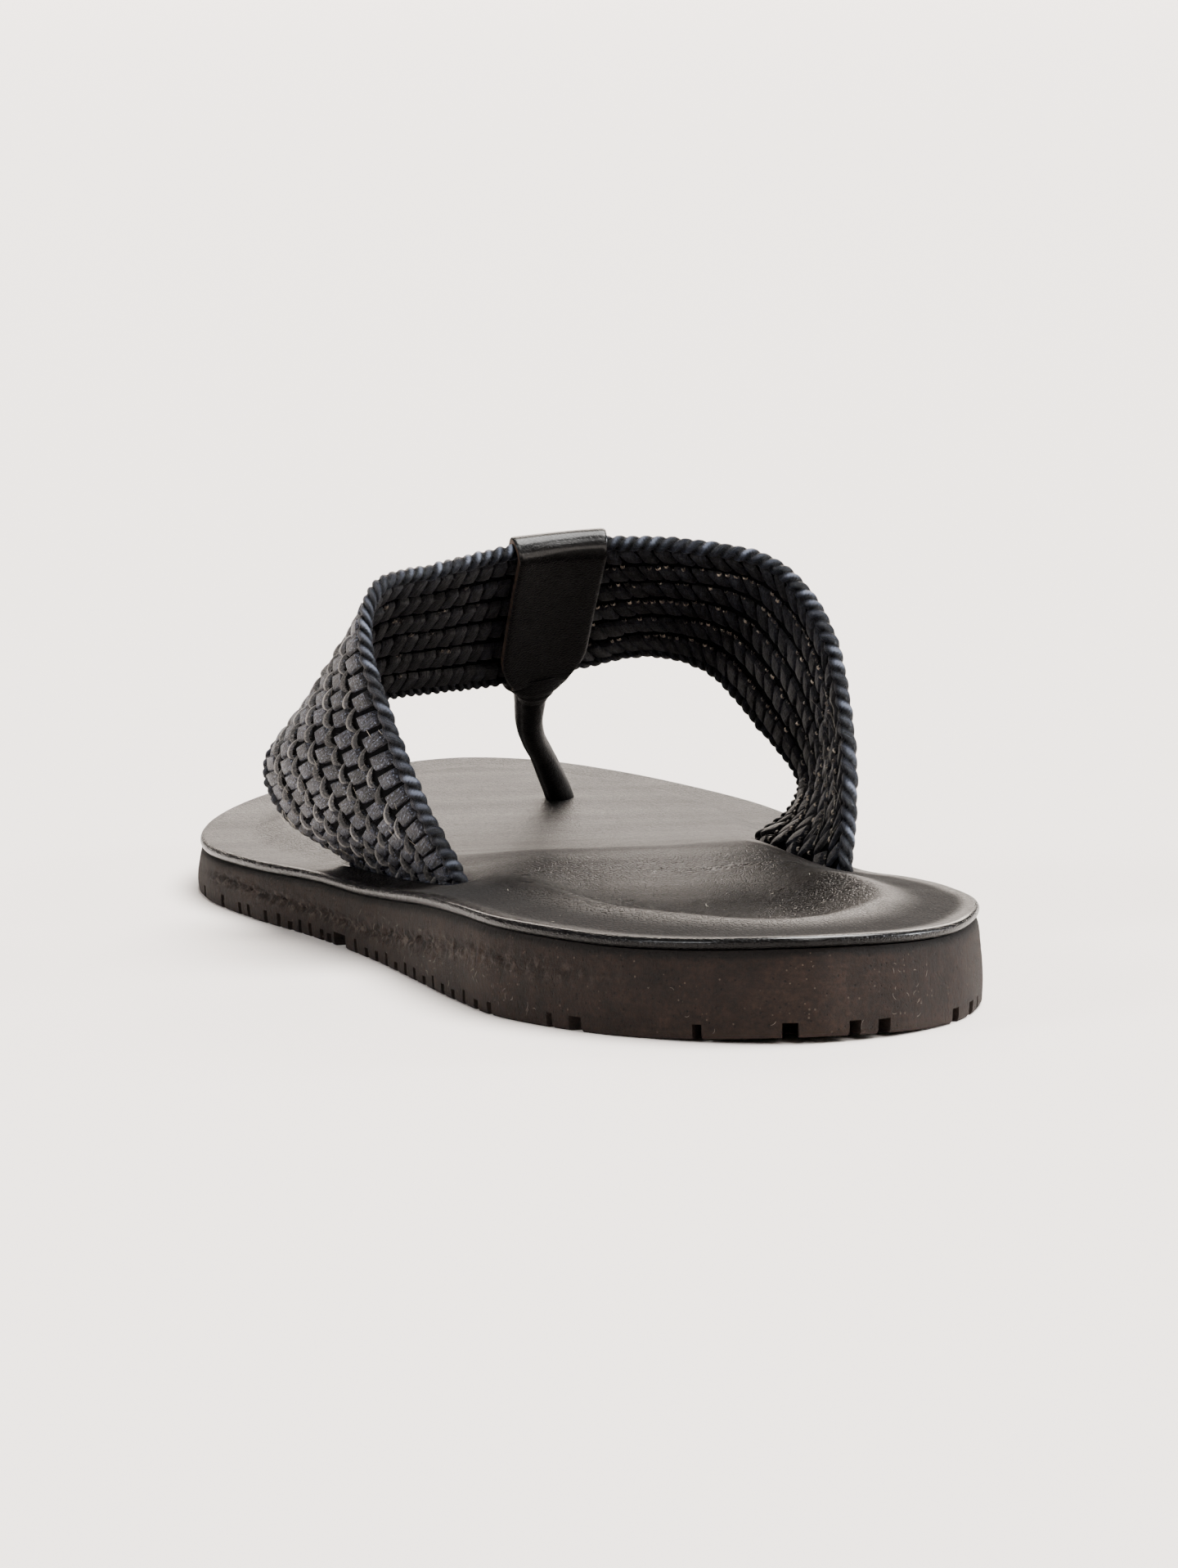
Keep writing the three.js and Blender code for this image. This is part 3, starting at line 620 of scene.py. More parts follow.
def set_bump(tree, shader, height, strength, distance):
    bump = add(tree, "ShaderNodeBump", {"Height": height, "Strength": strength, "Distance": distance})
    tree.links.new(bump.outputs["Normal"], shader.inputs["Normal"])


# Finishes
def footbed_leather(grain, dust):
    """Dark brown leather: fine pebbles with creases, polished in the heel's dish, duller on its flange."""
    material, tree, shader, place = new_material("footbed leather")
    leather = use_group(tree, grain, Place=place, Pebbles=1350.0, Unevenness=55.0, Depth=1.0)
    matt = mask_of(tree, "matt")
    base = ramp(tree, leather["Cloud"], ((0.30, (0.0040, 0.0028, 0.0023)), (0.72, (0.0088, 0.0058, 0.0045))))
    creased = math_node(tree, "SUBTRACT", 1.0, leather["Crease"], clamp=True)
    base = blend_colour(tree, creased, base, (0.0022, 0.0018, 0.0016))
    base = dusted(tree, dust, place, 0.30, base, (0.35, 0.31, 0.28))
    rubs = noise_at(tree, stretched(tree, place, (14.0, 95.0, 14.0)), 1.0, 3.0)
    rubbed = times(tree, math_node(tree, "SUBTRACT", rubs, 0.5), 0.26)
    dress(tree, shader, base, plus(tree, between(tree, leather["Cloud"], 0.40, 0.50), matt, rubbed), 0.18)
    pressed = math_node(tree, "ADD", 1.0, times(tree, matt, 2.4), clamp=True)
    set_bump(tree, shader, times(tree, leather["Height"], pressed), 0.75, 0.00024)
    return material


def outsole_rubber(dust):
    """Buffed brown rubber: fine grain and pale specks, a crumbled band with painted highlights on its lumps
    and painted shade in its pits, and a ragged painted shadow under the rim.
    """
    material, tree, shader, place = new_material("buffed rubber")
    band = mask_of(tree, "rough_band")
    broad = noise_at(tree, place, 70.0, 6.0, 0.62)
    strokes = noise_at(tree, stretched(tree, vector_of(tree, "side"), (0.16, 1.5, 1.0)), 1.0, 5.0, 0.66)
    crumb = noise_at(tree, place, 1300.0, 5.0, 0.8)
    mottle = noise_at(tree, place, 300.0, 4.0, 0.7)
    lumps = noise_at(tree, place, 520.0, 4.0, 0.75)
    cells = add(tree, "ShaderNodeTexVoronoi", {"Vector": place, "Scale": 1150.0}).outputs
    near = eased(tree, cells["Distance"], 0.26, 0.14)
    kind = add(tree, "ShaderNodeSeparateColor", {"Color": cells["Color"]}).outputs["Red"]
    pale = times(tree, near, math_node(tree, "GREATER_THAN", kind, 0.90))
    pore = times(tree, near, math_node(tree, "LESS_THAN", kind, 0.34))
    base = ramp(tree, broad, (
        (0.30, (0.0120, 0.0062, 0.0042)), (0.50, (0.0210, 0.0111, 0.0075)), (0.72, (0.0350, 0.0196, 0.0134))))
    for share, pattern, low, darkest in (
            (0.35, strokes, 0.36, 0.35), (0.80, mottle, 0.36, 0.50), (0.85, crumb, 0.38, 0.30)):
        base = blend_colour(tree, share, base, ramp(tree, pattern, ((low, darkest), (0.62, 1.0))), "MULTIPLY")
    # Painted highlights on the band's lumps and painted shade in its pits
    ridge_highlight = times(tree, eased(tree, lumps, 0.50, 0.62), band)
    pit_shade = times(tree, eased(tree, lumps, 0.47, 0.38), band)
    # A ragged painted shadow just under the footbed's rim, placed by the height up the side
    ragged_rim_shadow = plus(tree, mask_of(tree, "rise"), times(tree, mottle, 0.30))
    for mask, share, colour in (
            (pore, 0.8, (0.0022, 0.0016, 0.0013)),
            (pale, 0.75, (0.055, 0.040, 0.031)),
            (ridge_highlight, 0.8, (0.066, 0.052, 0.044)),
            (pit_shade, 0.9, (0.0018, 0.0013, 0.0011)),
            (mask_of(tree, "edge"), 0.30, (0.026, 0.016, 0.012)),
            (eased(tree, ragged_rim_shadow, 1.02, 1.10), 0.85, (0.0020, 0.0015, 0.0013))):
        base = blend_colour(tree, times(tree, mask, share), base, colour)
    base = dusted(tree, dust, place, 0.40, base, (0.17, 0.125, 0.09))
    dress(tree, shader, base, between(tree, crumb, 0.62, 0.92), 0.20)
    height = math_node(tree, "SUBTRACT", plus(tree, crumb, times(tree, mottle, 0.8)), times(tree, pore, 0.5))
    set_bump(tree, shader, plus(tree, height, times(tree, lumps, band, 4.0)), 0.9, 0.0005)
    return material


def strand_finish(name, strands, colours, flecks, roughness, gloss, spread, lip=None, power=1.0):
    """A woven strand: dark, light and fleck colours, its own coordinates and shade, a painted highlight on
    its lip, painted sparkle in its flecks and painted shade where it dips low.
    """
    dark, light, sparkle_fleck_colour = colours
    material, tree, shader, _ = new_material(name)
    along = vector_of(tree, "strand")
    shade = mask_of(tree, "shade")
    fibres = use_group(tree, strands, Along=along, Shade=shade, Streaks=1.45, Crinkle=0.55)
    base = ramp(tree, fibres["Tone"], ((0.46, dark), (0.58, light)))
    # The lip colour is a painted highlight along the strand's lit edge
    if lip:
        base = blend_colour(tree, times(tree, mask_of(tree, "lip"), 0.85), base, lip)
    tint = between(tree, math_node(tree, "POWER", shade, power), *spread)
    base = blend_colour(tree, 1.0, base, tint, "MULTIPLY")
    # Bright flecks: painted sparkle
    base = blend_colour(tree, times(tree, fibres["Fleck"], flecks), base, sparkle_fleck_colour)
    # Painted shade where the strand dips low: its ends under its neighbours and the rope's creases
    depth = add(tree, "ShaderNodeSeparateXYZ", {"Vector": along}).outputs["Z"]
    limits = {"Value": depth, "From Min": 0.25, "From Max": 0.95, "To Min": 0.06, "To Max": 1.0}
    dip_shade = add(tree, "ShaderNodeMapRange", limits).outputs["Result"]
    base = blend_colour(tree, 1.0, base, dip_shade, "MULTIPLY")
    dress(tree, shader, base, between(tree, fibres["Tone"], roughness + 0.14, roughness - 0.12), gloss)
    set_bump(tree, shader, fibres["Height"], 1.0, 0.0006)
    return material


def core_finish():
    material, tree, shader, place = new_material("strap core shade")
    cloud = noise_at(tree, place, 900.0, 3.0)
    # Near-black and matt: painted shade for the gaps between the strands
    base = ramp(tree, cloud, ((0.3, (0.0006, 0.0006, 0.0008)), (0.7, (0.002, 0.002, 0.0024))))
    dress(tree, shader, base, 0.95, 0.03)
    set_bump(tree, shader, cloud, 0.6, 0.0003)
    return material


def black_leather(name, grain, dust, roughness, gloss, coat, depth, lumps=150.0, polish=0.13):
    """Near black leather. The coat is one weight, or the name of the mask that gives it."""
    material, tree, shader, place = new_material(name)
    leather = use_group(tree, grain, Place=place, Pebbles=1700.0, Unevenness=lumps, Depth=depth)
    base = ramp(tree, leather["Cloud"], ((0.3, (0.0012, 0.0011, 0.0012)), (0.7, (0.0030, 0.0027, 0.0027))))
    base = dusted(tree, dust, place, 0.12, base, (0.30, 0.28, 0.26))
    dress(tree, shader, base, between(tree, leather["Cloud"], roughness - 0.05, roughness + 0.06), gloss)
    if isinstance(coat, str):
        tree.links.new(mask_of(tree, coat), shader.inputs["Coat Weight"])
    else:
        shader.inputs["Coat Weight"].default_value = coat
    shader.inputs["Coat Roughness"].default_value = polish
    set_bump(tree, shader, leather["Height"], 0.5, 0.00018)
    return material


def raw_edge_finish():
    material, tree, shader, place = new_material("raw leather edge")
    fibres = noise_at(tree, place, 1600.0, 4.0, 0.7)
    dress(tree, shader, ramp(tree, fibres, ((0.3, (0.020, 0.010, 0.006)), (0.7, (0.075, 0.042, 0.026)))), 0.8)
    set_bump(tree, shader, fibres, 0.8, 0.0002)
    return material


def fibre_finish(name, pale):
    material, tree, shader, place = new_material(name)
    dull = tuple(0.35 * value for value in pale)
    dress(tree, shader, ramp(tree, noise_at(tree, place, 700.0, 2.0), ((0.35, dull), (0.65, pale))), 0.6)
    return material


# Sole
def make_ring(steps):
    """The outline's points with their outward direction, their place on the spine and its distance."""
    def side(column, sign):
        return [(sign * row[column] * width_at(row[0]), row[0] * SOLE_LENGTH) for row in OUTLINE]
    corners = side(1, -1) + side(2, 1)[1:-1][::-1]
    points = smooth_curve(corners, steps, True)
    count = len(points)
    mates = points[-np.arange(count) % count]
    ahead, behind = np.roll(points, -1, axis=0), np.roll(points, 1, axis=0)
    out = unit(np.stack([behind[:, 1] - ahead[:, 1], ahead[:, 0] - behind[:, 0]], -1))
    middle = (points + mates) / 2
    spine_y = np.clip(middle[:, 1], SPINE_FROM * SOLE_LENGTH, SPINE_TO * SOLE_LENGTH)
    half = slice(0, count // 2 + 1)
    spine = np.stack([np.interp(spine_y, middle[half, 1], middle[half, 0]), spine_y], -1)
    return points, out, spine, np.linalg.norm(points - spine, axis=1)


def width_at(along):
    return HEEL_WIDTH + (BALL_WIDTH - HEEL_WIDTH) * float(smooth(0.30, 0.65, along))


def sole_bottom(y):
    along = y / SOLE_LENGTH
    toe = np.clip((along - 0.7) / 0.3, 0, 1)
    heel = np.clip(1 - along / 0.07, 0, 1)
    return TOE_SPRING * toe ** 2 + HEEL_BEVEL * heel ** 2


def seam_height(y):
    share = flow(STEP_DOWN, 1, y / SOLE_LENGTH)
    return sole_bottom(y) + FORE_THICKNESS + (HEEL_THICKNESS - FORE_THICKNESS) * share


def slot_distance(x, y):
    """Distance in plan from the nearer of the strap's two slots."""
    nearest = np.full(np.shape(x), 1e9)
    for row in (STRAP[1], STRAP[-2]):
        start = np.array([row[0] * BALL_WIDTH, row[1] * SOLE_LENGTH])
        stop = np.array([row[3] * BALL_WIDTH, row[4] * SOLE_LENGTH])
        along = stop - start
        share = np.clip(((x - start[0]) * along[0] + (y - start[1]) * along[1]) / (along @ along), 0, 1)
        away = np.hypot(x - start[0] - share * along[0], y - start[1] - share * along[1])
        nearest = np.minimum(nearest, away)
    return nearest


def footbed_top(x, y, inset):
    """The leather's height: rim, flange, ring, dish and arch, with puckers at the slots and the post."""
    along = y / SOLE_LENGTH
    ring = RIM_RISE * flow(CONTOUR, 1, along)
    middle = RIM_RISE * flow(CONTOUR, 2, along)
    waist = smooth(0.22, 0.34, along) * (1 - smooth(0.48, 0.62, along))
    on_pad = smooth(FLANGE_WIDTH - 1 - 5 * waist, FLANGE_WIDTH + PAD_SLOPE_WIDTH + 3 * waist, inset)
    in_dish = smooth(FLANGE_WIDTH + PAD_SLOPE_WIDTH - 2, DISH_WIDTH + 9, inset)
    arch = ARCH_RISE * smooth(5, 25, x) * (smooth(0.28, 0.42, along) - smooth(0.46, 0.62, along))
    fall = FLANGE_RISE * smooth(1.5, 9.0, inset) * (1 - smooth(0.22, 0.34, along))
    top = seam_height(y) + RIM_RISE + fall + on_pad * (ring + (middle - ring) * in_dish + arch)
    near = slot_distance(x, y)
    around_post = np.hypot(x - POST[6][0] * BALL_WIDTH, y - POST[6][1] * SOLE_LENGTH)
    lip = SLOT_LIP * np.exp(-((near - 3.2) / 1.5) ** 2) - SLOT_HOLLOW * np.exp(-(near / 1.6) ** 2)
    top = top + lip * smooth(2, 6, inset)
    return top + POST_PUCKER * np.exp(-(around_post / 6.0) ** 2)


def bedding(x, y, inset):
    """The outsole's top under the footbed, sunken where the dish needs room."""
    least = np.minimum(seam_height(y), footbed_top(x, y, inset) - FOOTBED_LEAST)
    return seam_height(y) + (least - 0.3 - seam_height(y)) * smooth(6, 12, inset)


def layer_ring(ring, inset, share, height):
    """The outline drawn in by inset, then by a share of what is left to the spine, at a height."""
    points, out, spine, reach = ring
    start = np.minimum(inset, reach)
    distance = start + (reach - start) * share
    inward = np.clip(distance / reach, 0, 1)[:, None]
    place = points + (spine - points) * inward + out * max(0.0, -inset)
    return np.column_stack([place, height(place[:, 0], place[:, 1], np.maximum(distance, 0))])


def make_footbed(ring, leather, rim_leather):
    """The cover from its underside round the rolled rim and down into the dish, with its wear masks."""
    under = lambda x, y, inset: bedding(x, y, inset) + 0.15
    roll = lambda rise: (lambda x, y, inset: seam_height(y) + rise)
    rings = [layer_ring(ring, DISH_WIDTH, share, under) for share in (0.96, 0.6, 0.25, 0)]
    rings += [layer_ring(ring, inset, 0, under) for inset in (9.0, 0.5)]
    crest = [0.0] * len(rings)
    rim = [0.0] * len(rings)
    rim_row = len(rings) - 1
    middle = RIM_RISE / 2 + 0.1
    turns = 9
    for step in range(turns + 1):
        angle = -math.pi / 2 + math.pi * step / turns
        inset = 0.45 - (0.45 + RIM_BULGE) * math.cos(angle) if step < turns else 0.6
        rings.append(layer_ring(ring, inset, 0, roll(middle + (middle - 0.15) * math.sin(angle))))
        rim.append(1.0)
        crest.append(math.exp(-((math.degrees(angle) - 48) / 20) ** 2))
    flange = [1.0] * len(rim)
    for inset in np.linspace(1.3, DISH_WIDTH, 26):
        rings.append(layer_ring(ring, inset, 0, footbed_top))
        rim.append(float(1 - smooth(1.0, 3.4, inset)))
        flange.append(float(1 - smooth(7.0, 14.0, inset)))
    for share in np.linspace(0.07, 0.97, 14):
        rings.append(layer_ring(ring, DISH_WIDTH, share, footbed_top))
        rim.append(0.0)
        flange.append(0.0)
    points, faces = skin(rings)
    along = points[:, 1] / SOLE_LENGTH
    heel = 1 - smooth(0.372, 0.405, along)
    size = len(ring[0])
    flange = np.repeat(flange, size) * (1 - np.repeat(rim, size))
    crest = np.repeat(crest + [0.0] * (len(rings) - len(crest)), size) * (1 - smooth(0.12, 0.34, along))
    attributes = {"crest": crest, "matt": heel * (0.54 * flange - 0.15)}
    row = np.arange(len(faces)) // size
    slots = np.where((row >= rim_row) & (row < rim_row + turns), 1, 0)
    cover = make_mesh("footbed_cover", points, faces, [leather, rim_leather], slots, attributes)
    return finish_piece(cover, "footbed", "footbed")


def side_roughness(run, share, strength):
    """How far the buffed side stands in or out at each point of one level, in millimetres."""
    broad = np.array([noise.noise(Vector((r * 0.10, share * 2.5, 1.0))) for r in run])
    lumps = np.array([noise.turbulence(Vector((r * 0.36, share * 8.0, 5.0)), 3, False) for r in run])
    pits = np.array([max(0.0, noise.noise(Vector((r * 0.75, share * 13.0, 9.0))) - 0.22) for r in run])
    return 0.14 * broad * (1 - smooth(0.85, 0.97, share)) + strength * (0.85 * lumps - 0.50 - 1.5 * pits)


def make_outsole(ring, rubber):
    """The rubber from its top round the buffed side to its underside, with the tread cut out."""
    points, out, _, _ = ring
    rings = [layer_ring(ring, DISH_WIDTH, share, bedding) for share in (0.96, 0.6, 0.25, 0)]
    rings += [layer_ring(ring, inset, 0, bedding) for inset in (12.0, 9.0, 0.7)]
    worn = [0.0] * 7
    # Shares of height up the side, which place the painted shadow under the rim
    rim_shadow_rise = [1.0] * 7
    y = points[:, 1]
    run = length_along(points)
    lateral = np.where(out[:, 0] < 0.2, 1.0, 0.2)
    strength = lateral * (0.55 * smooth(8, 35, y) + 0.45 * smooth(35, 75, y)) * (1 - smooth(176, 205, y))
    bands = [np.zeros(len(points))] * 7
    levels = 22
    for step in range(levels + 1):
        share = 1 - step / levels
        middle = BAND_MIDDLE + BAND_WAVE * np.sin(run * 0.035)
        band = strength * np.exp(-((share - middle) / BAND_HALF) ** 2)
        stand = SIDE_FLARE * (1 - share) ** 0.7 + SIDE_BULGE * math.sin(math.pi * share)
        stand = stand - SIDE_BULGE * smooth(0.93, 1.0, share)
        rise = 0.04 + 0.96 * share
        z_of = lambda x, y, inset: sole_bottom(y) + (seam_height(y) - sole_bottom(y)) * rise
        layer = layer_ring(ring, -0.01, 0, z_of)
        layer[:, :2] += out * (stand + side_roughness(run, share, band))[:, None]
        rings.append(layer)
        bands.append(band)
        worn.append(float(1 - smooth(0.0, 0.12, share)))
        rim_shadow_rise.append(share)
    bottom = lambda x, y, inset: sole_bottom(y)
    edge = layer_ring(ring, -0.01, 0, bottom)
    edge[:, :2] += out * (SIDE_FLARE - 0.35)
    rings += [edge, layer_ring(ring, 3.0, 0, bottom), layer_ring(ring, DISH_WIDTH, 0, bottom)]
    rings.append(layer_ring(ring, DISH_WIDTH, 0.96, bottom))
    worn += [1.0, 0.0, 0.0, 0.0]
    rim_shadow_rise += [0.0] * 4
    bands += [np.zeros(len(points))] * 4
    verts, faces = skin(rings)
    side = np.column_stack([np.tile(run, len(rings)), verts[:, 2], np.zeros(len(verts))])
    attributes = {
        "rough_band": np.concatenate(bands),
        "edge": np.repeat(worn, len(points)),
        "side": side,
        "rise": np.repeat(rim_shadow_rise, len(points)),
    }
    sole = make_mesh("outsole_rubber", verts, faces, [rubber], None, attributes)
    cut_tread(sole, ring)
    return finish_piece(sole, "outsole", "outsole")


def block(width, length, height, place, turn=0.0):
    """A cutter's eight corners and six faces, its middle at place."""
    signs = [(x, y, z) for z in (-0.5, 0.5) for y in (-0.5, 0.5) for x in (-0.5, 0.5)]
    turned = Matrix.Rotation(turn, 3, "Z")
    corners = [turned @ Vector((x * width, y * length, z * height)) + Vector(place) for x, y, z in signs]
    faces = [(0, 2, 3, 1), (4, 5, 7, 6), (0, 1, 5, 4), (2, 6, 7, 3), (0, 4, 6, 2), (1, 3, 7, 5)]
    return [tuple(c) for c in corners], faces


def groove_block(along, width):
    """A cutter right across the tread, bent forward at the middle."""
    y = along * SOLE_LENGTH
    reach = BALL_WIDTH * 0.7
    plan = [(-reach, y), (0, y + GROOVE_CHEVRON), (reach, y)]
    top = sole_bottom(y + GROOVE_CHEVRON / 2) + TREAD_DEPTH
    corners = [(x, place + side * width / 2, z) for z in (-6.0, top) for side in (-1, 1) for x, place in plan]
    faces = []
    for i in (0, 1):
        faces += [(i, 3 + i, 4 + i, 1 + i), (6 + i, 7 + i, 10 + i, 9 + i)]
        faces += [(i, 1 + i, 7 + i, 6 + i), (3 + i, 9 + i, 10 + i, 4 + i)]
    faces += [(0, 6, 9, 3), (2, 5, 11, 8)]
    return corners, faces


def cut_tread(sole, ring):
    """Cuts grooves, heel notches and side ribs out of the outsole with one set of blocks."""
    points, out, _, _ = ring
    half = len(points) // 2
    blocks = [groove_block(along, width) for along, width in GROOVES]
    near = points[:, 1] < SPINE_FROM * SOLE_LENGTH
    for across, width in HEEL_NOTCHES:
        x = across * HEEL_WIDTH
        i = np.where(near, np.abs(points[:, 0] - x), 1e9).argmin()
        turn = math.atan2(out[i, 1], out[i, 0]) + math.pi / 2
        place = (points[i, 0], points[i, 1], sole_bottom(points[i, 1]))
        blocks.append(block(width, 2 * HEEL_NOTCH_REACH, 2 * TREAD_DEPTH, place, turn))
    for side in (points[:half + 1], points[-np.arange(half + 1) % len(points)]):
        for i, along in enumerate((*np.linspace(RIB_FROM, RIB_TO, RIB_COUNT), *SIDE_SLITS)):
            y = along * SOLE_LENGTH
            x = np.interp(y, side[:, 1], side[:, 0])
            uneven = 1 + 0.22 * math.sin(i * 2.3)
            size = (2 * RIB_INSET, RIB_WIDTH * uneven, 2 * RIB_HEIGHT * (2 - uneven))
            blocks.append(block(*size, (x, y, 0), 0.08 * math.sin(i * 1.7)))
    corners, faces = [], []
    for block_corners, block_faces in blocks:
        faces += [[len(corners) + i for i in face] for face in block_faces]
        corners += block_corners
    cutter = make_mesh("tread_cutter", corners, faces, [])
    modifier = sole.modifiers.new("tread", "BOOLEAN")
    modifier.object = cutter
    modifier.operation = "DIFFERENCE"
    modifier.solver = "EXACT"
    settle(sole).set_sharp_from_angle(angle=math.radians(42))
    bpy.data.objects.remove(cutter)


# Strap
def strap_frames(steps):
    """Frames evenly spaced along the strap's middle line."""
    rows = np.array(STRAP)
    scale = np.array([BALL_WIDTH, SOLE_LENGTH, STRAP_HEIGHT])
    rear = smooth_curve(rows[:, 0:3] * scale, STRAP_STEPS, False)
    fore = smooth_curve(rows[:, 3:6] * scale, STRAP_STEPS, False)
    bow = np.interp(np.arange(len(rear)) / STRAP_STEPS, np.arange(len(rows)), rows[:, 6]) * STRAP_WALL
    middle = (rear + fore) / 2
    run = length_along(middle)
    places = np.linspace(0, run[-1], steps + 1)
    pick = lambda values: np.stack([np.interp(places, run, values[:, i]) for i in range(3)], -1)
    rear, fore = pick(rear), pick(fore)
    frames = {"run": places, "rear": rear, "fore": fore, "bow": np.interp(places, run, bow)}
    frames["share"] = np.interp(places, run, np.linspace(0, 1, len(run)))
    ahead = unit(np.gradient((rear + fore) / 2, axis=0))
    across = unit(fore - rear)
    out = unit(np.cross(across, ahead))
    centre = np.array([0, 0.5 * SOLE_LENGTH, 0.3 * STRAP_HEIGHT])
    sign = np.sign(np.einsum("ij,ij->i", out, (rear + fore) / 2 - centre))
    frames["out"] = out * sign[:, None]
    frames["width"] = np.linalg.norm(fore - rear, axis=1)
    return frames


def at_run(frames, key, run):
    values = frames[key]
    if values.ndim == 1:
        return np.interp(run, frames["run"], values)
    return np.stack([np.interp(run, frames["run"], values[:, i]) for i in range(3)], -1)


def on_strap(frames, run, across, lift):
    """Points on the strap at lengths along it, shares across it and heights over its middle surface."""
    rear, fore, out = (at_run(frames, key, run) for key in ("rear", "fore", "out"))
    across = np.asarray(across, float)[..., None]
    bow = 4 * at_run(frames, "bow", run)[..., None] * across * (1 - across)
    return rear + (fore - rear) * across + unit(out) * (bow + np.asarray(lift, float)[..., None])


def make_strap_core(frames, finish):
    """The thin near-black wall under the strands, painted shade for the gaps between them."""
    steps, columns = 260, 18
    run = np.linspace(0, frames["run"][-1], steps)
    margin = EDGE_BEAD / 2 / at_run(frames, "width", run)
    rings = []
    for i in range(steps):
        across = margin[i] + (1 - 2 * margin[i]) * np.linspace(0, 1, columns + 1)
        upper = on_strap(frames, np.full(columns + 1, run[i]), across, np.full(columns + 1, CORE_HALF))
        lower = on_strap(frames, np.full(columns + 1, run[i]), across[::-1], np.full(columns + 1, -CORE_HALF))
        rings.append(np.vstack([upper, lower]))
    points, faces = skin(rings, 2 * columns + 1)
    return finish_piece(make_mesh("strap_core", points, faces, [finish]), "woven_upper", "woven_upper")


def make_strap_rope(name, frames, rear, finish):
    """A twisted selvedge along one edge: two strands, each showing as an oblique cushion."""
    sides, step = 20, 0.26
    run = np.arange(0, frames["run"][-1], step)
    width = at_run(frames, "width", run)
    margin = (ROPE_SIZE / 2 + 0.05) / width
    place = margin if rear else 1 - margin
    centre = on_strap(frames, run, place, np.zeros(len(run)))
    ahead = unit(np.gradient(centre, axis=0))
    out = unit(at_run(frames, "out", run))
    sideways = unit(np.cross(ahead, out))
    sign = -1 if rear else 1
    towards_edge = unit(at_run(frames, "rear", run) - at_run(frames, "fore", run)) * (1 if rear else -1)
    edge_sign = np.sign(np.einsum("ij,ij->i", sideways, towards_edge).mean())
    chances = np.random.default_rng(7 if rear else 8).random(ROPE_CHANCES)
    rings, strand, shade, glint = [], [], [], []
    for turn in np.arange(sides) * 2 * math.pi / sides:
        phase = turn * sign - math.pi * run / ROPE_PITCH
        lobe = np.abs(np.cos(phase)) ** 0.7
        segment = np.floor(phase / math.pi + 0.5).astype(int)
        wobble = np.array([noise.noise(Vector((r * 0.33, turn, 3.0 + sign))) for r in run])
        stand = 0.20 * (chances[(segment + 11) % ROPE_CHANCES] - 0.5)
        radius = ROPE_SIZE / 2 - ROPE_LOBE + ROPE_LOBE * 1.2 * lobe + 0.10 * wobble + stand * lobe
        rings.append(centre + (out * math.cos(turn) + sideways * math.sin(turn)) * radius[:, None])
        # The lobe sets painted shade in the creases between the cushions; each segment's shade is random and
        # is lightened on the crests as a painted highlight
        strand.append(np.column_stack([run * 0.6 + turn, phase * 1.6, 0.05 + lobe]))
        shade.append(chances[segment % ROPE_CHANCES] * 0.7 + 0.3 * lobe)
        # The glint, kept as the lip mask, is a painted highlight on the cushions' crests along the outer edge
        edgeward = smooth(0.55, 0.95, math.sin(turn) * edge_sign + 0.20 * math.cos(turn))
        chosen = smooth(0.35, 0.8, chances[(segment + 37) % ROPE_CHANCES])
        glint.append(edgeward * smooth(0.82, 0.97, lobe) * chosen)
    points, faces = skin(np.stack(rings, 1))
    attributes = {
        "strand": np.stack(strand, 1).reshape(-1, 3),
        "shade": np.stack(shade, 1).ravel(),
        "lip": np.stack(glint, 1).ravel(),
    }
    return finish_piece(make_mesh(name, points, faces, [finish], None, attributes), "woven_upper")


def make_tile(name, shape, rows, columns, mirror):
    """A small strand patch as a mesh: shape gives x, y, z in millimetres for shares from -1 to 1."""
    grid = [(u, v) for v in rows for u in columns]
    rows, columns = len(rows) - 1, len(columns) - 1
    points = np.array([shape(u, v) for u, v in grid]) * (mirror, 1, 1)
    starts = [r * (columns + 1) + c for r in range(rows) for c in range(columns)]
    faces = [(i, i + 1, i + columns + 2, i + columns + 1) for i in starts]
    mesh = bpy.data.meshes.new(name)
    mesh.from_pydata((points * MM).tolist(), [], [face[::mirror] for face in faces])
    # The lip mask places a painted highlight along the tile's left edge
    lip = [float(smooth(0.1, -0.9, u) * (1 - v * v) ** 0.5) for u, v in grid]
    dress_mesh(mesh, {"strand": points, "lip": lip})
    return new_object(name, mesh)


def patch_shape(u, v):
    """A strand where it lies over: nearly flat, its ends turning down under its neighbours."""
    end = max(0.0, (abs(u) - 0.72) / 0.28)
    side = max(0.0, (abs(v) - 0.84) / 0.16)
    x = u * PATCH_WIDE / 2
    z = PATCH_LIFT + 0.12 * v + 0.13 * (1 - v * v) + 0.12 * (1 - u * u)
    return x, v * PATCH_TALL / 2 - WEFT_LEAN * x, z - 0.95 * end ** 1.8 - 0.60 * side ** 1.5


def slant_shape(u, v):
    """A strand between the columns, on its way from one patch down to the next, turned on its edge."""
    arch = 1 - v * v
    x = 0.36 - 0.88 * arch + 0.60 * v + u * SLANT_WIDE / 2 * (0.60 + 0.40 * arch)
    z = SLANT_LIFT * (1 - abs(v) ** 3.0 * 0.95) - 0.24 * u - 0.10 * u * u
    return x, v * SLANT_LONG / 2 - WEFT_LEAN * 0.5 * x, z


def dash_shape(u, v):
    """The turned edge of a strand that stands up between two patches on the inner face, finished pale as a
    painted glint.
    """
    return u * DASH_WIDE / 2, v * DASH_LONG / 2, SLANT_LIFT + 0.08 - 0.30 * v ** 4 - 0.16 * u * u


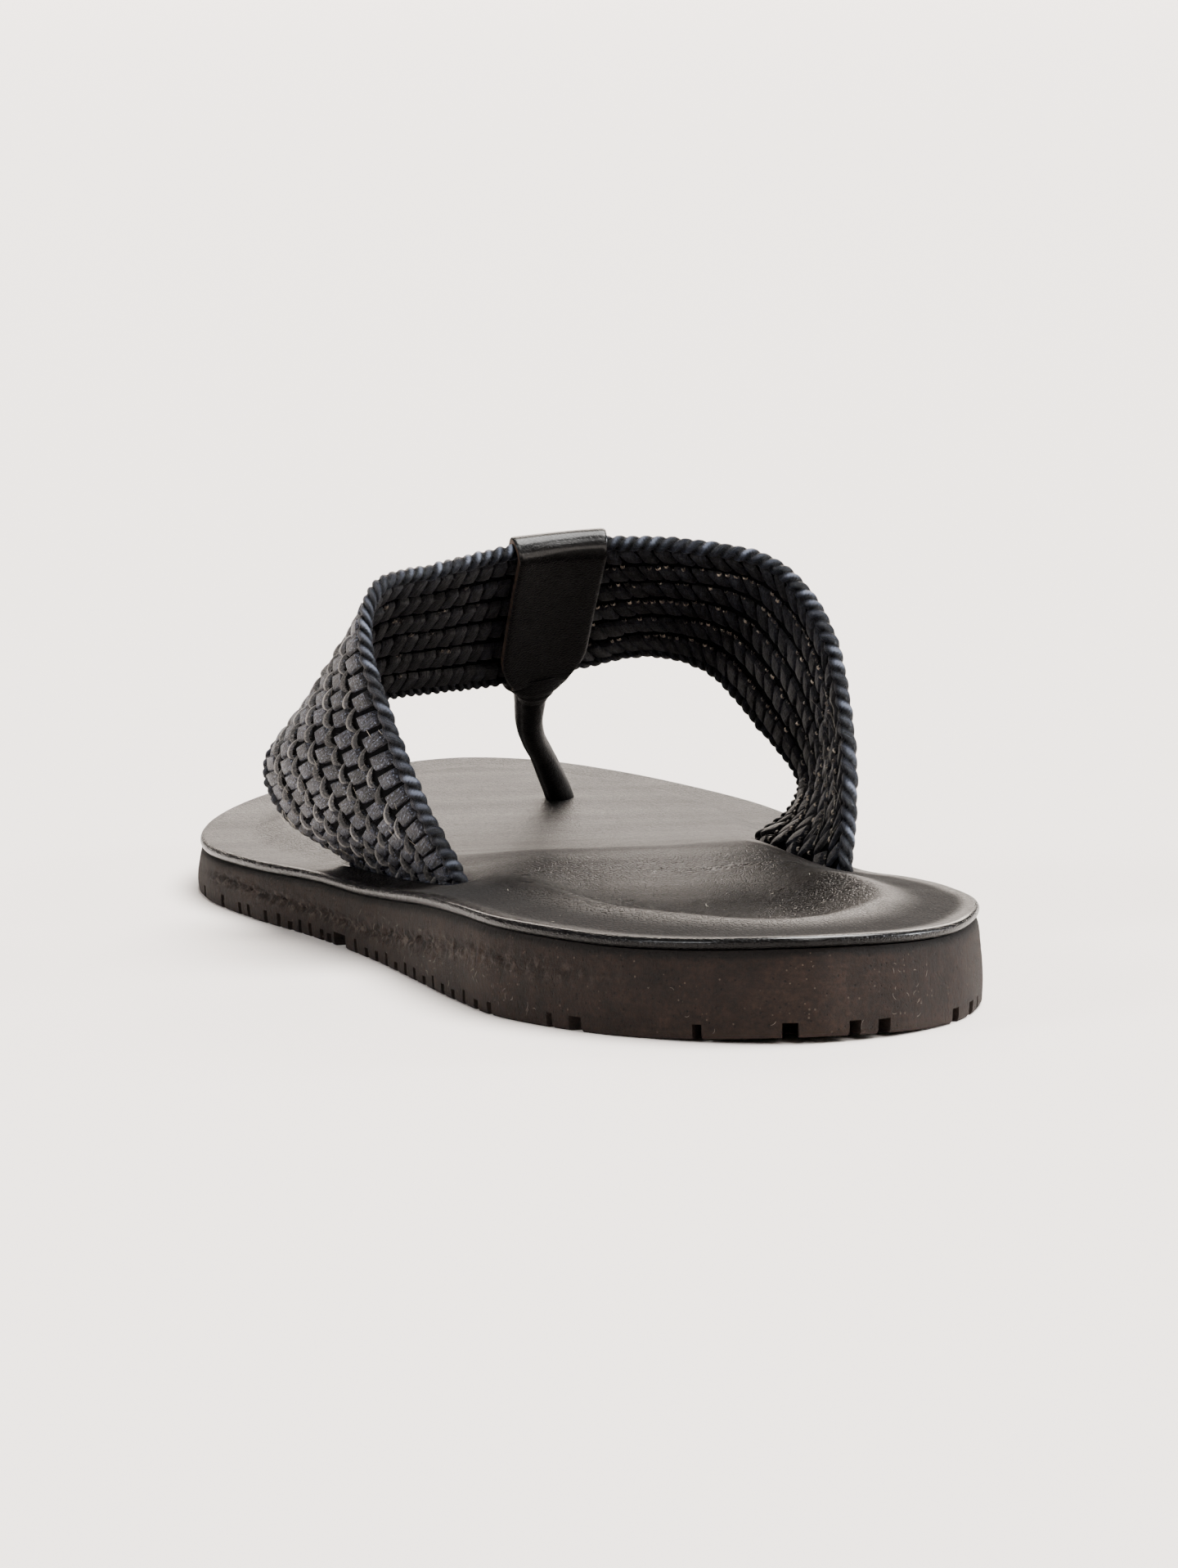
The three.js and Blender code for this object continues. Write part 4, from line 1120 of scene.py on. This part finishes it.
def chart_value(tree, name):
    node = add(tree, "GeometryNodeInputNamedAttribute", {"Name": name}, data_type="FLOAT_VECTOR")
    return node.outputs["Attribute"]


def chance_between(tree, least, most, seed):
    sockets = {0: least, 1: most, "Seed": seed}
    return add(tree, "FunctionNodeRandomValue", sockets, data_type="FLOAT_VECTOR").outputs[0]


def make_tile_tree():
    """Sets a tile on each point of a chart, turned as the chart says, with small chance changes."""
    inputs = {
        "Chart": "Geometry", "Tile": "Object", "Size change": 0.06, "Tilt change": 0.06, "Seed": 1,
        "Finish": "Material",
    }
    tree, given = new_group("woven strands", inputs, ("Strands",), "GeometryNodeTree", "Geometry")
    seed, size_change, tilt_change = given["Seed"], given["Size change"], given["Tilt change"]
    turn, size = chart_value(tree, "turn"), chart_value(tree, "size")
    tile = add(tree, "GeometryNodeObjectInfo", {"Object": given["Tile"]}, transform_space="ORIGINAL")
    least = math_node(tree, "SUBTRACT", 1.0, size_change)
    most = math_node(tree, "ADD", 1.0, size_change)
    change = chance_between(tree, least, most, seed)
    placed = add(tree, "GeometryNodeInstanceOnPoints", {
        "Points": given["Chart"],
        "Instance": tile.outputs["Geometry"],
        "Rotation": add(tree, "FunctionNodeEulerToRotation", {0: turn}).outputs[0],
        "Scale": add(tree, "ShaderNodeVectorMath", {0: size, 1: change}, operation="MULTIPLY").outputs[0],
    })
    moved = lambda step: add(tree, "FunctionNodeIntegerMath", {0: seed, 1: step}, operation="ADD")
    tilt_seed, shade_seed = moved(17).outputs[0], moved(31).outputs[0]
    tilt = chance_between(tree, math_node(tree, "MULTIPLY", tilt_change, -1.0), tilt_change, tilt_seed)
    tilted = add(tree, "GeometryNodeRotateInstances", {"Instances": placed.outputs[0], "Rotation": tilt})
    shade = add(tree, "FunctionNodeRandomValue", {"Seed": shade_seed}, data_type="FLOAT").outputs[1]
    shading = {"Geometry": tilted.outputs[0], "Name": "shade", "Value": shade}
    kept = add(tree, "GeometryNodeStoreNamedAttribute", shading, data_type="FLOAT", domain="INSTANCE")
    real = add(tree, "GeometryNodeRealizeInstances", {0: kept.outputs[0]})
    covering = {"Geometry": real.outputs[0], "Material": given["Finish"]}
    finished = add(tree, "GeometryNodeSetMaterial", covering)
    return give_out(tree, {"Strands": finished.outputs[0]})


def turn_of(across, along, normal):
    """The turn that lays a tile's x across, its y along and its z out."""
    return tuple(Matrix(np.stack([across, along, normal], -1).tolist()).to_euler())


def chart_object(name, frames, run, across, side, sizes):
    """Points for tiles on one face of the strap, with the turn and the size of each."""
    lift = np.zeros(len(run))
    place = on_strap(frames, run, across, lift)
    step = 0.4
    along = unit(on_strap(frames, run + step, across, lift) - on_strap(frames, run - step, across, lift))
    over = unit(on_strap(frames, run, across + 0.01, lift) - on_strap(frames, run, across - 0.01, lift))
    normal = unit(np.cross(over, along))
    facing = np.sign(np.einsum("ij,ij->i", normal, at_run(frames, "out", run)))[:, None] * side
    normal = normal * facing
    over = np.cross(along, normal)
    turns = [turn_of(*ways) for ways in zip(unit(over), along, normal)]
    return make_mesh(name, place, [], [], None, {"turn": np.array(turns), "size": sizes})


def grow_tiles(chart, tree, values):
    """Runs the tree on a chart and leaves a plain mesh in its place."""
    modifier = chart.modifiers.new("strands", "NODES")
    modifier.node_group = tree
    for item in tree.interface.items_tree:
        if item.in_out == "INPUT" and item.name in values:
            modifier[item.identifier] = values[item.name]
    settle(chart)


def lattice(frames, shift_across, shift_run):
    """Run, share across and size of the tiles: staggered columns, half a pitch apart."""
    total = frames["run"][-1]
    runs, shares, sizes = [], [], []
    for column in range(1 if shift_across else 0, COLUMNS):
        count = int(total / PATCH_PITCH)
        run = (np.arange(count) + 0.5 * (column % 2) + 0.25) * PATCH_PITCH + shift_run
        run = run[(run > 0.6) & (run < total - 0.6)]
        width = at_run(frames, "width", run)
        margin = 0.55 * EDGE_BEAD / width
        place = margin + (1 - 2 * margin) * (column + 0.5 - shift_across) / COLUMNS
        wide = width * (1 - 2 * margin) / COLUMNS / TILE_COLUMN
        runs.append(run)
        shares.append(place)
        sizes.append(np.column_stack([wide, np.ones(len(run)), np.ones(len(run))]))
    return np.concatenate(runs), np.concatenate(shares), np.vstack(sizes)


def make_weave(frames, tree, finishes):
    """Both faces of the strap: patches in their columns and the strands between the columns."""
    half_pitch = 0.5 * PATCH_PITCH
    patch_rows, patch_columns = (-1, -0.84, 0, 0.84, 1), (-1, -0.88, -0.72, 0, 0.72, 0.88, 1)
    for label, side in (("outer", 1), ("inner", -1)):
        patch = make_tile("patch_tile", patch_shape, patch_rows, patch_columns, side)
        run, across, sizes = lattice(frames, 0, 0)
        sizes = sizes * ((1.0 if label == "outer" else INNER_WIDTH), 1, 1)
        patches = chart_object(f"strap_patches_{label}", frames, run, across, side, sizes)
        grow_tiles(patches, tree, {
            "Tile": patch,
            "Seed": 5 + side,
            "Finish": finishes[f"{label} patch"],
            "Size change": 0.05,
            "Tilt change": 0.08,
        })
        if label == "outer":
            strand = make_tile("slant_tile", slant_shape, np.linspace(-1, 1, 11), (-1, 0, 1), side)
            run, across, sizes = lattice(frames, 0.5, -0.5 * half_pitch)
            change = 0.08
        else:
            # Inner face: short upright strands finished pale as painted glints, more of them past DASHES_FROM
            strand = make_tile("dash_tile", dash_shape, (-1, -0.8, -0.4, 0, 0.4, 0.8, 1), (-1, 0, 1), side)
            spots = [lattice(frames, 0.5, shift * half_pitch) for shift in (-0.5, 0.5)]
            run, across, sizes = (np.concatenate(values) for values in zip(*spots))
            share = np.where(run > DASHES_FROM * frames["run"][-1], DASHES_PAST, DASHES_BEFORE)
            kept = np.random.default_rng(17).random(len(run)) < share
            run, across, sizes = run[kept], across[kept], sizes[kept]
            change = 0.25
        slants = chart_object(f"strap_slants_{label}", frames, run, across, side, sizes)
        grow_tiles(slants, tree, {
            "Tile": strand,
            "Seed": 23 + side,
            "Finish": finishes[f"{label} slant"],
            "Size change": change,
            "Tilt change": 0.10,
        })
        finish_piece(patches, "woven_upper")
        finish_piece(slants, "woven_upper")
        bpy.data.objects.remove(patch)
        bpy.data.objects.remove(strand)


# Loose fibres
def hair_shape(u, v):
    """One short fibre, bent along its length and a little raised at its ends."""
    return u * 0.045 + 0.14 * v * v, v * 0.5, 0.05 + 0.05 * v * v


def lay_hairs(name, tree, finish, ride_on, places, normals, directions, lengths):
    """Fibres on chosen spots, each along its own direction, grown with the same tree as the strands."""
    turns = []
    for normal, direction in zip(normals, directions):
        ahead = unit(direction - normal * (direction @ normal))
        turns.append(turn_of(np.cross(ahead, normal), ahead, normal))
    sizes = np.stack([1 + 0 * lengths, lengths, 0.6 + 0.4 * lengths], -1)
    chart = make_mesh(name, places, [], [], None, {"turn": np.array(turns), "size": sizes})
    hair = make_tile("hair_tile", hair_shape, np.linspace(-1, 1, 6), (-1, 1), 1)
    changes = {"Size change": 0.2, "Tilt change": 0.25}
    grow_tiles(chart, tree, {"Tile": hair, "Seed": 3, "Finish": finish, **changes})
    bpy.data.objects.remove(hair)
    return finish_piece(chart, ride_on)


def hairs_on_strap(frames, tree, finish):
    """Frayed fibres where the strap goes into the footbed: a fan at one end, a fringe at the other."""
    chance = np.random.default_rng(12)
    total = frames["run"][-1]
    # Name, count, along the strap, across it, face, lengths
    groups = (
        ("fibres_inner_end", 46, (total - 26, total - 4), (0.06, 0.42), -1, (2.0, 6.5)),
        ("fibres_outer_end", 34, (3.0, 16.0), (0.93, 1.0), 1, (0.8, 2.2)),
        ("fibres_outer_face", 40, (4.0, 60.0), (0.0, 1.0), 1, (0.7, 2.4)),
    )
    for name, count, runs, shares, side, lengths in groups:
        run = chance.uniform(*runs, count)
        across = chance.uniform(*shares, count)
        places = on_strap(frames, run, across, np.full(count, FIBRE_LIFT * side))
        flat = np.zeros(count)
        ahead = unit(on_strap(frames, run + 0.5, across, flat) - on_strap(frames, run - 0.5, across, flat))
        over = unit(at_run(frames, "fore", run) - at_run(frames, "rear", run))
        lean = chance.normal(0, 0.35, (count, 1))
        normals = unit(at_run(frames, "out", run)) * side
        sizes = chance.uniform(*lengths, count)
        lay_hairs(name, tree, finish, "woven_upper", places, normals, ahead + over * lean, sizes)


def lint_on(name, piece, tree, finish, slot, low, high, count, seed):
    """Short lint lying on a finished piece, in one box of the shoe."""
    chance = np.random.default_rng(seed)
    places, normals = [], []
    mesh = piece.data
    surface = BVHTree.FromPolygons([v.co for v in mesh.vertices], [p.vertices for p in mesh.polygons])
    for spot in chance.uniform(low, high, (count, 3)):
        target = (Vector(spot) - Vector((0, HEEL_REST * SOLE_LENGTH, 0))) * MM
        place, normal, _, _ = surface.find_nearest(target)
        places.append(np.array(place / MM) + (0, HEEL_REST * SOLE_LENGTH, 0))
        normals.append(np.array(normal))
    directions = chance.normal(0, 1, (count, 3))
    lengths = chance.uniform(0.3, 1.3, count)
    lay_hairs(name, tree, finish, slot, np.array(places), normals, directions, lengths)


# Wrap and toe post
def wrap_section(frames, run, middle, half, columns, turns):
    """A closed loop round the strap at one length along it, drawn in towards the strap's fore edge."""
    width = float(at_run(frames, "width", run))
    margin = (EDGE_BEAD / 2) / width
    flat = margin + (1 - 2 * margin) * np.linspace(0, 1, columns + 1)
    pull = lambda place: WRAP_DRAW * np.clip((place - 0.74) / 0.26, 0, 1) ** 2.2
    drawn_in = lambda place: middle + (run - middle) * (1 - pull(place))
    full = drawn_in(flat)
    over = unit(at_run(frames, "fore", run) - at_run(frames, "rear", run))
    out = unit(at_run(frames, "out", run))
    def cap(place, start):
        here = np.array([float(drawn_in(place))])
        centre = on_strap(frames, here, np.array([place]), np.array([0.0]))[0]
        angles = start - np.linspace(0, 1, turns + 2)[1:-1] * math.pi
        return np.array([centre + out * math.sin(a) * half + over * math.cos(a) * half for a in angles])
    upper = on_strap(frames, full, flat, np.full(columns + 1, half))
    lower = on_strap(frames, full[::-1], flat[::-1], np.full(columns + 1, -half))
    return np.vstack([upper, cap(1 - margin, math.pi / 2), lower, cap(margin, -math.pi / 2)])


def make_wrap(frames, leather, raw):
    """The leather loop, with its cut edges at both sides, and the collar gathered under it."""
    share = frames["share"]
    start, stop = (float(np.interp(s, share, frames["run"])) for s in (WRAP_FROM, WRAP_TO))
    inner, outer = WRAP_INNER, WRAP_OUTER
    edge = [(0.0, inner), (0.0, inner + 0.3), (0.02, outer - 0.25), (0.25, outer - 0.05), (0.7, outer)]
    length, middle = stop - start, (start + stop) / 2
    columns, turns, steps = 40, 10, 14
    profile = list(edge)
    for i in range(1, steps):
        profile.append((0.7 + (length - 1.4) * i / steps, outer - 0.10 * math.sin(math.pi * i / steps)))
    profile += [(length - place, half) for place, half in edge[::-1]]
    rings = np.array([
        wrap_section(frames, start + place, middle, half, columns, turns) for place, half in profile])
    count, size = rings.shape[:2]
    points = rings.reshape(-1, 3)
    faces = outward(points, rows_of_faces(count, size, True))
    row = np.repeat(np.arange(count), size)
    slots = np.where((row < 2) | ((row >= count - 3) & (row < count - 1)), 1, 0)
    loop = make_mesh("wrap_leather", points, faces, [leather, raw], slots)
    finish_piece(loop, "centre_wrap", "centre_wrap")
    make_collar(frames, middle, leather)


def oval_ring(centre, across, through, half_across, half_through, sides, square=2.0):
    """A closed ring of points round a centre, squarer than an oval where square is over 2."""
    angles = np.arange(sides) * 2 * math.pi / sides
    c, s = np.cos(angles), np.sin(angles)
    reach = (np.abs(c) ** square + np.abs(s) ** square) ** (-1 / square)
    return centre + np.outer(c * reach * half_across, across) + np.outer(s * reach * half_through, through)


def make_collar(frames, run, leather):
    """The gathered end of the wrap, from the strap's fore edge down the post."""
    before, fore, after = at_run(frames, "fore", np.array([run - 1.0, run, run + 1.0]))
    ahead = unit(after - before)
    path = post_path()
    down = unit(path[POST_STEPS] - fore)
    across = unit(ahead - down * (ahead @ down))
    through = np.cross(across, down)
    places = np.linspace(COLLAR[0][0], COLLAR[-1][0], 34)
    rings = []
    for place in places:
        wide, deep = (float(look_up(COLLAR, column, place)) * POST_DIAMETER / 2 for column in (1, 2))
        bead = COLLAR_BEAD * math.exp(-((place - 0.86) / 0.10) ** 2)
        gathered = float(smooth(0.2, 0.5, place) - smooth(0.9, 1.1, place))
        pinch = COLLAR_PINCH * math.sin(place * 9.0) * gathered
        centre = fore + down * place * POST_DIAMETER
        rings.append(oval_ring(centre, across, through, wide + bead + pinch, deep + bead, 48, 2.4))
    points, faces = skin(rings)
    return finish_piece(make_mesh("wrap_collar", points, faces, [leather]), "centre_wrap")


def post_path():
    rows = np.array(POST)
    return smooth_curve(rows[:, :3] * (BALL_WIDTH, SOLE_LENGTH, STRAP_HEIGHT), POST_STEPS, False)


def make_post(leather):
    """The rolled post: a round of leather with its overlap showing as a groove down the back."""
    path = post_path()
    sizes = np.interp(np.arange(len(path)) / POST_STEPS, np.arange(len(POST)), [row[3] for row in POST])
    ahead = unit(np.gradient(path, axis=0))
    sides, overlap_at = 40, 3.9
    angles = np.arange(sides) * 2 * math.pi / sides
    beside = np.mod(angles - overlap_at + math.pi, 2 * math.pi) - math.pi
    groove = POST_GROOVE * np.exp(-(beside / 0.16) ** 2)
    rings = []
    for centre, tangent, size in zip(path, ahead, sizes):
        across = unit(np.array([1.0, 0, 0]) - tangent * tangent[0])
        through = np.cross(across, tangent)
        radius = (size * POST_DIAMETER / 2 - groove)[:, None]
        place = centre + np.cos(angles)[:, None] * radius * across
        rings.append(place + np.sin(angles)[:, None] * radius * through)
    points, faces = skin(rings)
    return finish_piece(make_mesh("post_leather", points, faces, [leather]), "toe_post", "toe_post")


# Making
make_camera()
make_light()
make_floor()
grain = make_grain_group()
strands = make_strand_group()
dust = make_dust_group()
ring = make_ring(OUTLINE_STEPS)
outsole = make_outsole(ring, outsole_rubber(dust))
rim_leather = black_leather(
    "rim leather", grain, dust, roughness=0.24, gloss=0.11, coat="crest", depth=0.7, lumps=420.0, polish=0.18)
footbed = make_footbed(ring, footbed_leather(grain, dust), rim_leather)
frames = strap_frames(STRAP_FRAMES)
make_strap_core(frames, core_finish())
# The rope's lip colour is its painted glint
rope_finish = strand_finish(
    "selvedge strands", strands, ((0.0012, 0.0014, 0.0028), (0.024, 0.027, 0.042), (0.22, 0.26, 0.35)),
    flecks=0.5, roughness=0.32, gloss=0.22, lip=(0.24, 0.275, 0.37), spread=(0.15, 1.5))
make_strap_rope("strap_rope_rear", frames, True, rope_finish)
make_strap_rope("strap_rope_fore", frames, False, rope_finish)
finishes = {
    "outer patch": strand_finish(
        "flat strands", strands, ((0.0020, 0.0024, 0.0045), (0.042, 0.0455, 0.064), (0.22, 0.25, 0.34)),
        flecks=0.7, roughness=0.34, gloss=0.20, spread=(0.15, 1.15)),
    # The slants' lip colour is a painted highlight along their lit edge
    "outer slant": strand_finish(
        "slanting strands", strands, ((0.0014, 0.0016, 0.0024), (0.014, 0.015, 0.020), (0.26, 0.24, 0.22)),
        flecks=0.4, roughness=0.30, gloss=0.55, lip=(0.25, 0.232, 0.212), spread=(0.15, 1.9), power=1.5),
    # A darker copy of the outer strands: painted shade for the strap's inner face
    "inner patch": strand_finish(
        "inner strands", strands, ((0.0010, 0.0012, 0.0024), (0.012, 0.0135, 0.020), (0.06, 0.06, 0.07)),
        flecks=0.5, roughness=0.42, gloss=0.30, spread=(0.3, 1.6)),
    # Pale upright strands: painted glints on the inner face
    "inner slant": strand_finish(
        "upright strands with painted glints", strands, ((0.060, 0.050, 0.042), (0.60, 0.50, 0.40), (0.80, 0.70, 0.58)),
        flecks=0.6, roughness=0.40, gloss=0.40, spread=(0.02, 1.5), power=2.2),
}
strand_tree = make_tile_tree()
make_weave(frames, strand_tree, finishes)
wrap_leather = black_leather(
    "wrap leather", grain, dust, roughness=0.40, gloss=0.13, coat=0.38, depth=0.9, polish=0.19)
make_wrap(frames, wrap_leather, raw_edge_finish())
make_post(black_leather("post leather", grain, dust, roughness=0.50, gloss=0.11, coat=0.03, depth=0.9))
fibre = fibre_finish("pale fibres", (0.42, 0.38, 0.32))
dull_fibre = fibre_finish("brown fibres", (0.085, 0.062, 0.046))
hairs_on_strap(frames, strand_tree, fibre)
lint_on("lint_dish", footbed, strand_tree, fibre, "footbed", (-34, 20, 14), (20, 80, 20), 70, 41)
lint_on("lint_heel", outsole, strand_tree, dull_fibre, "outsole", (-30, -2, 1), (38, 4, 12), 22, 42)
lint_on("lint_side", outsole, strand_tree, dull_fibre, "outsole", (-60, 20, 1), (-50, 120, 9), 60, 43)
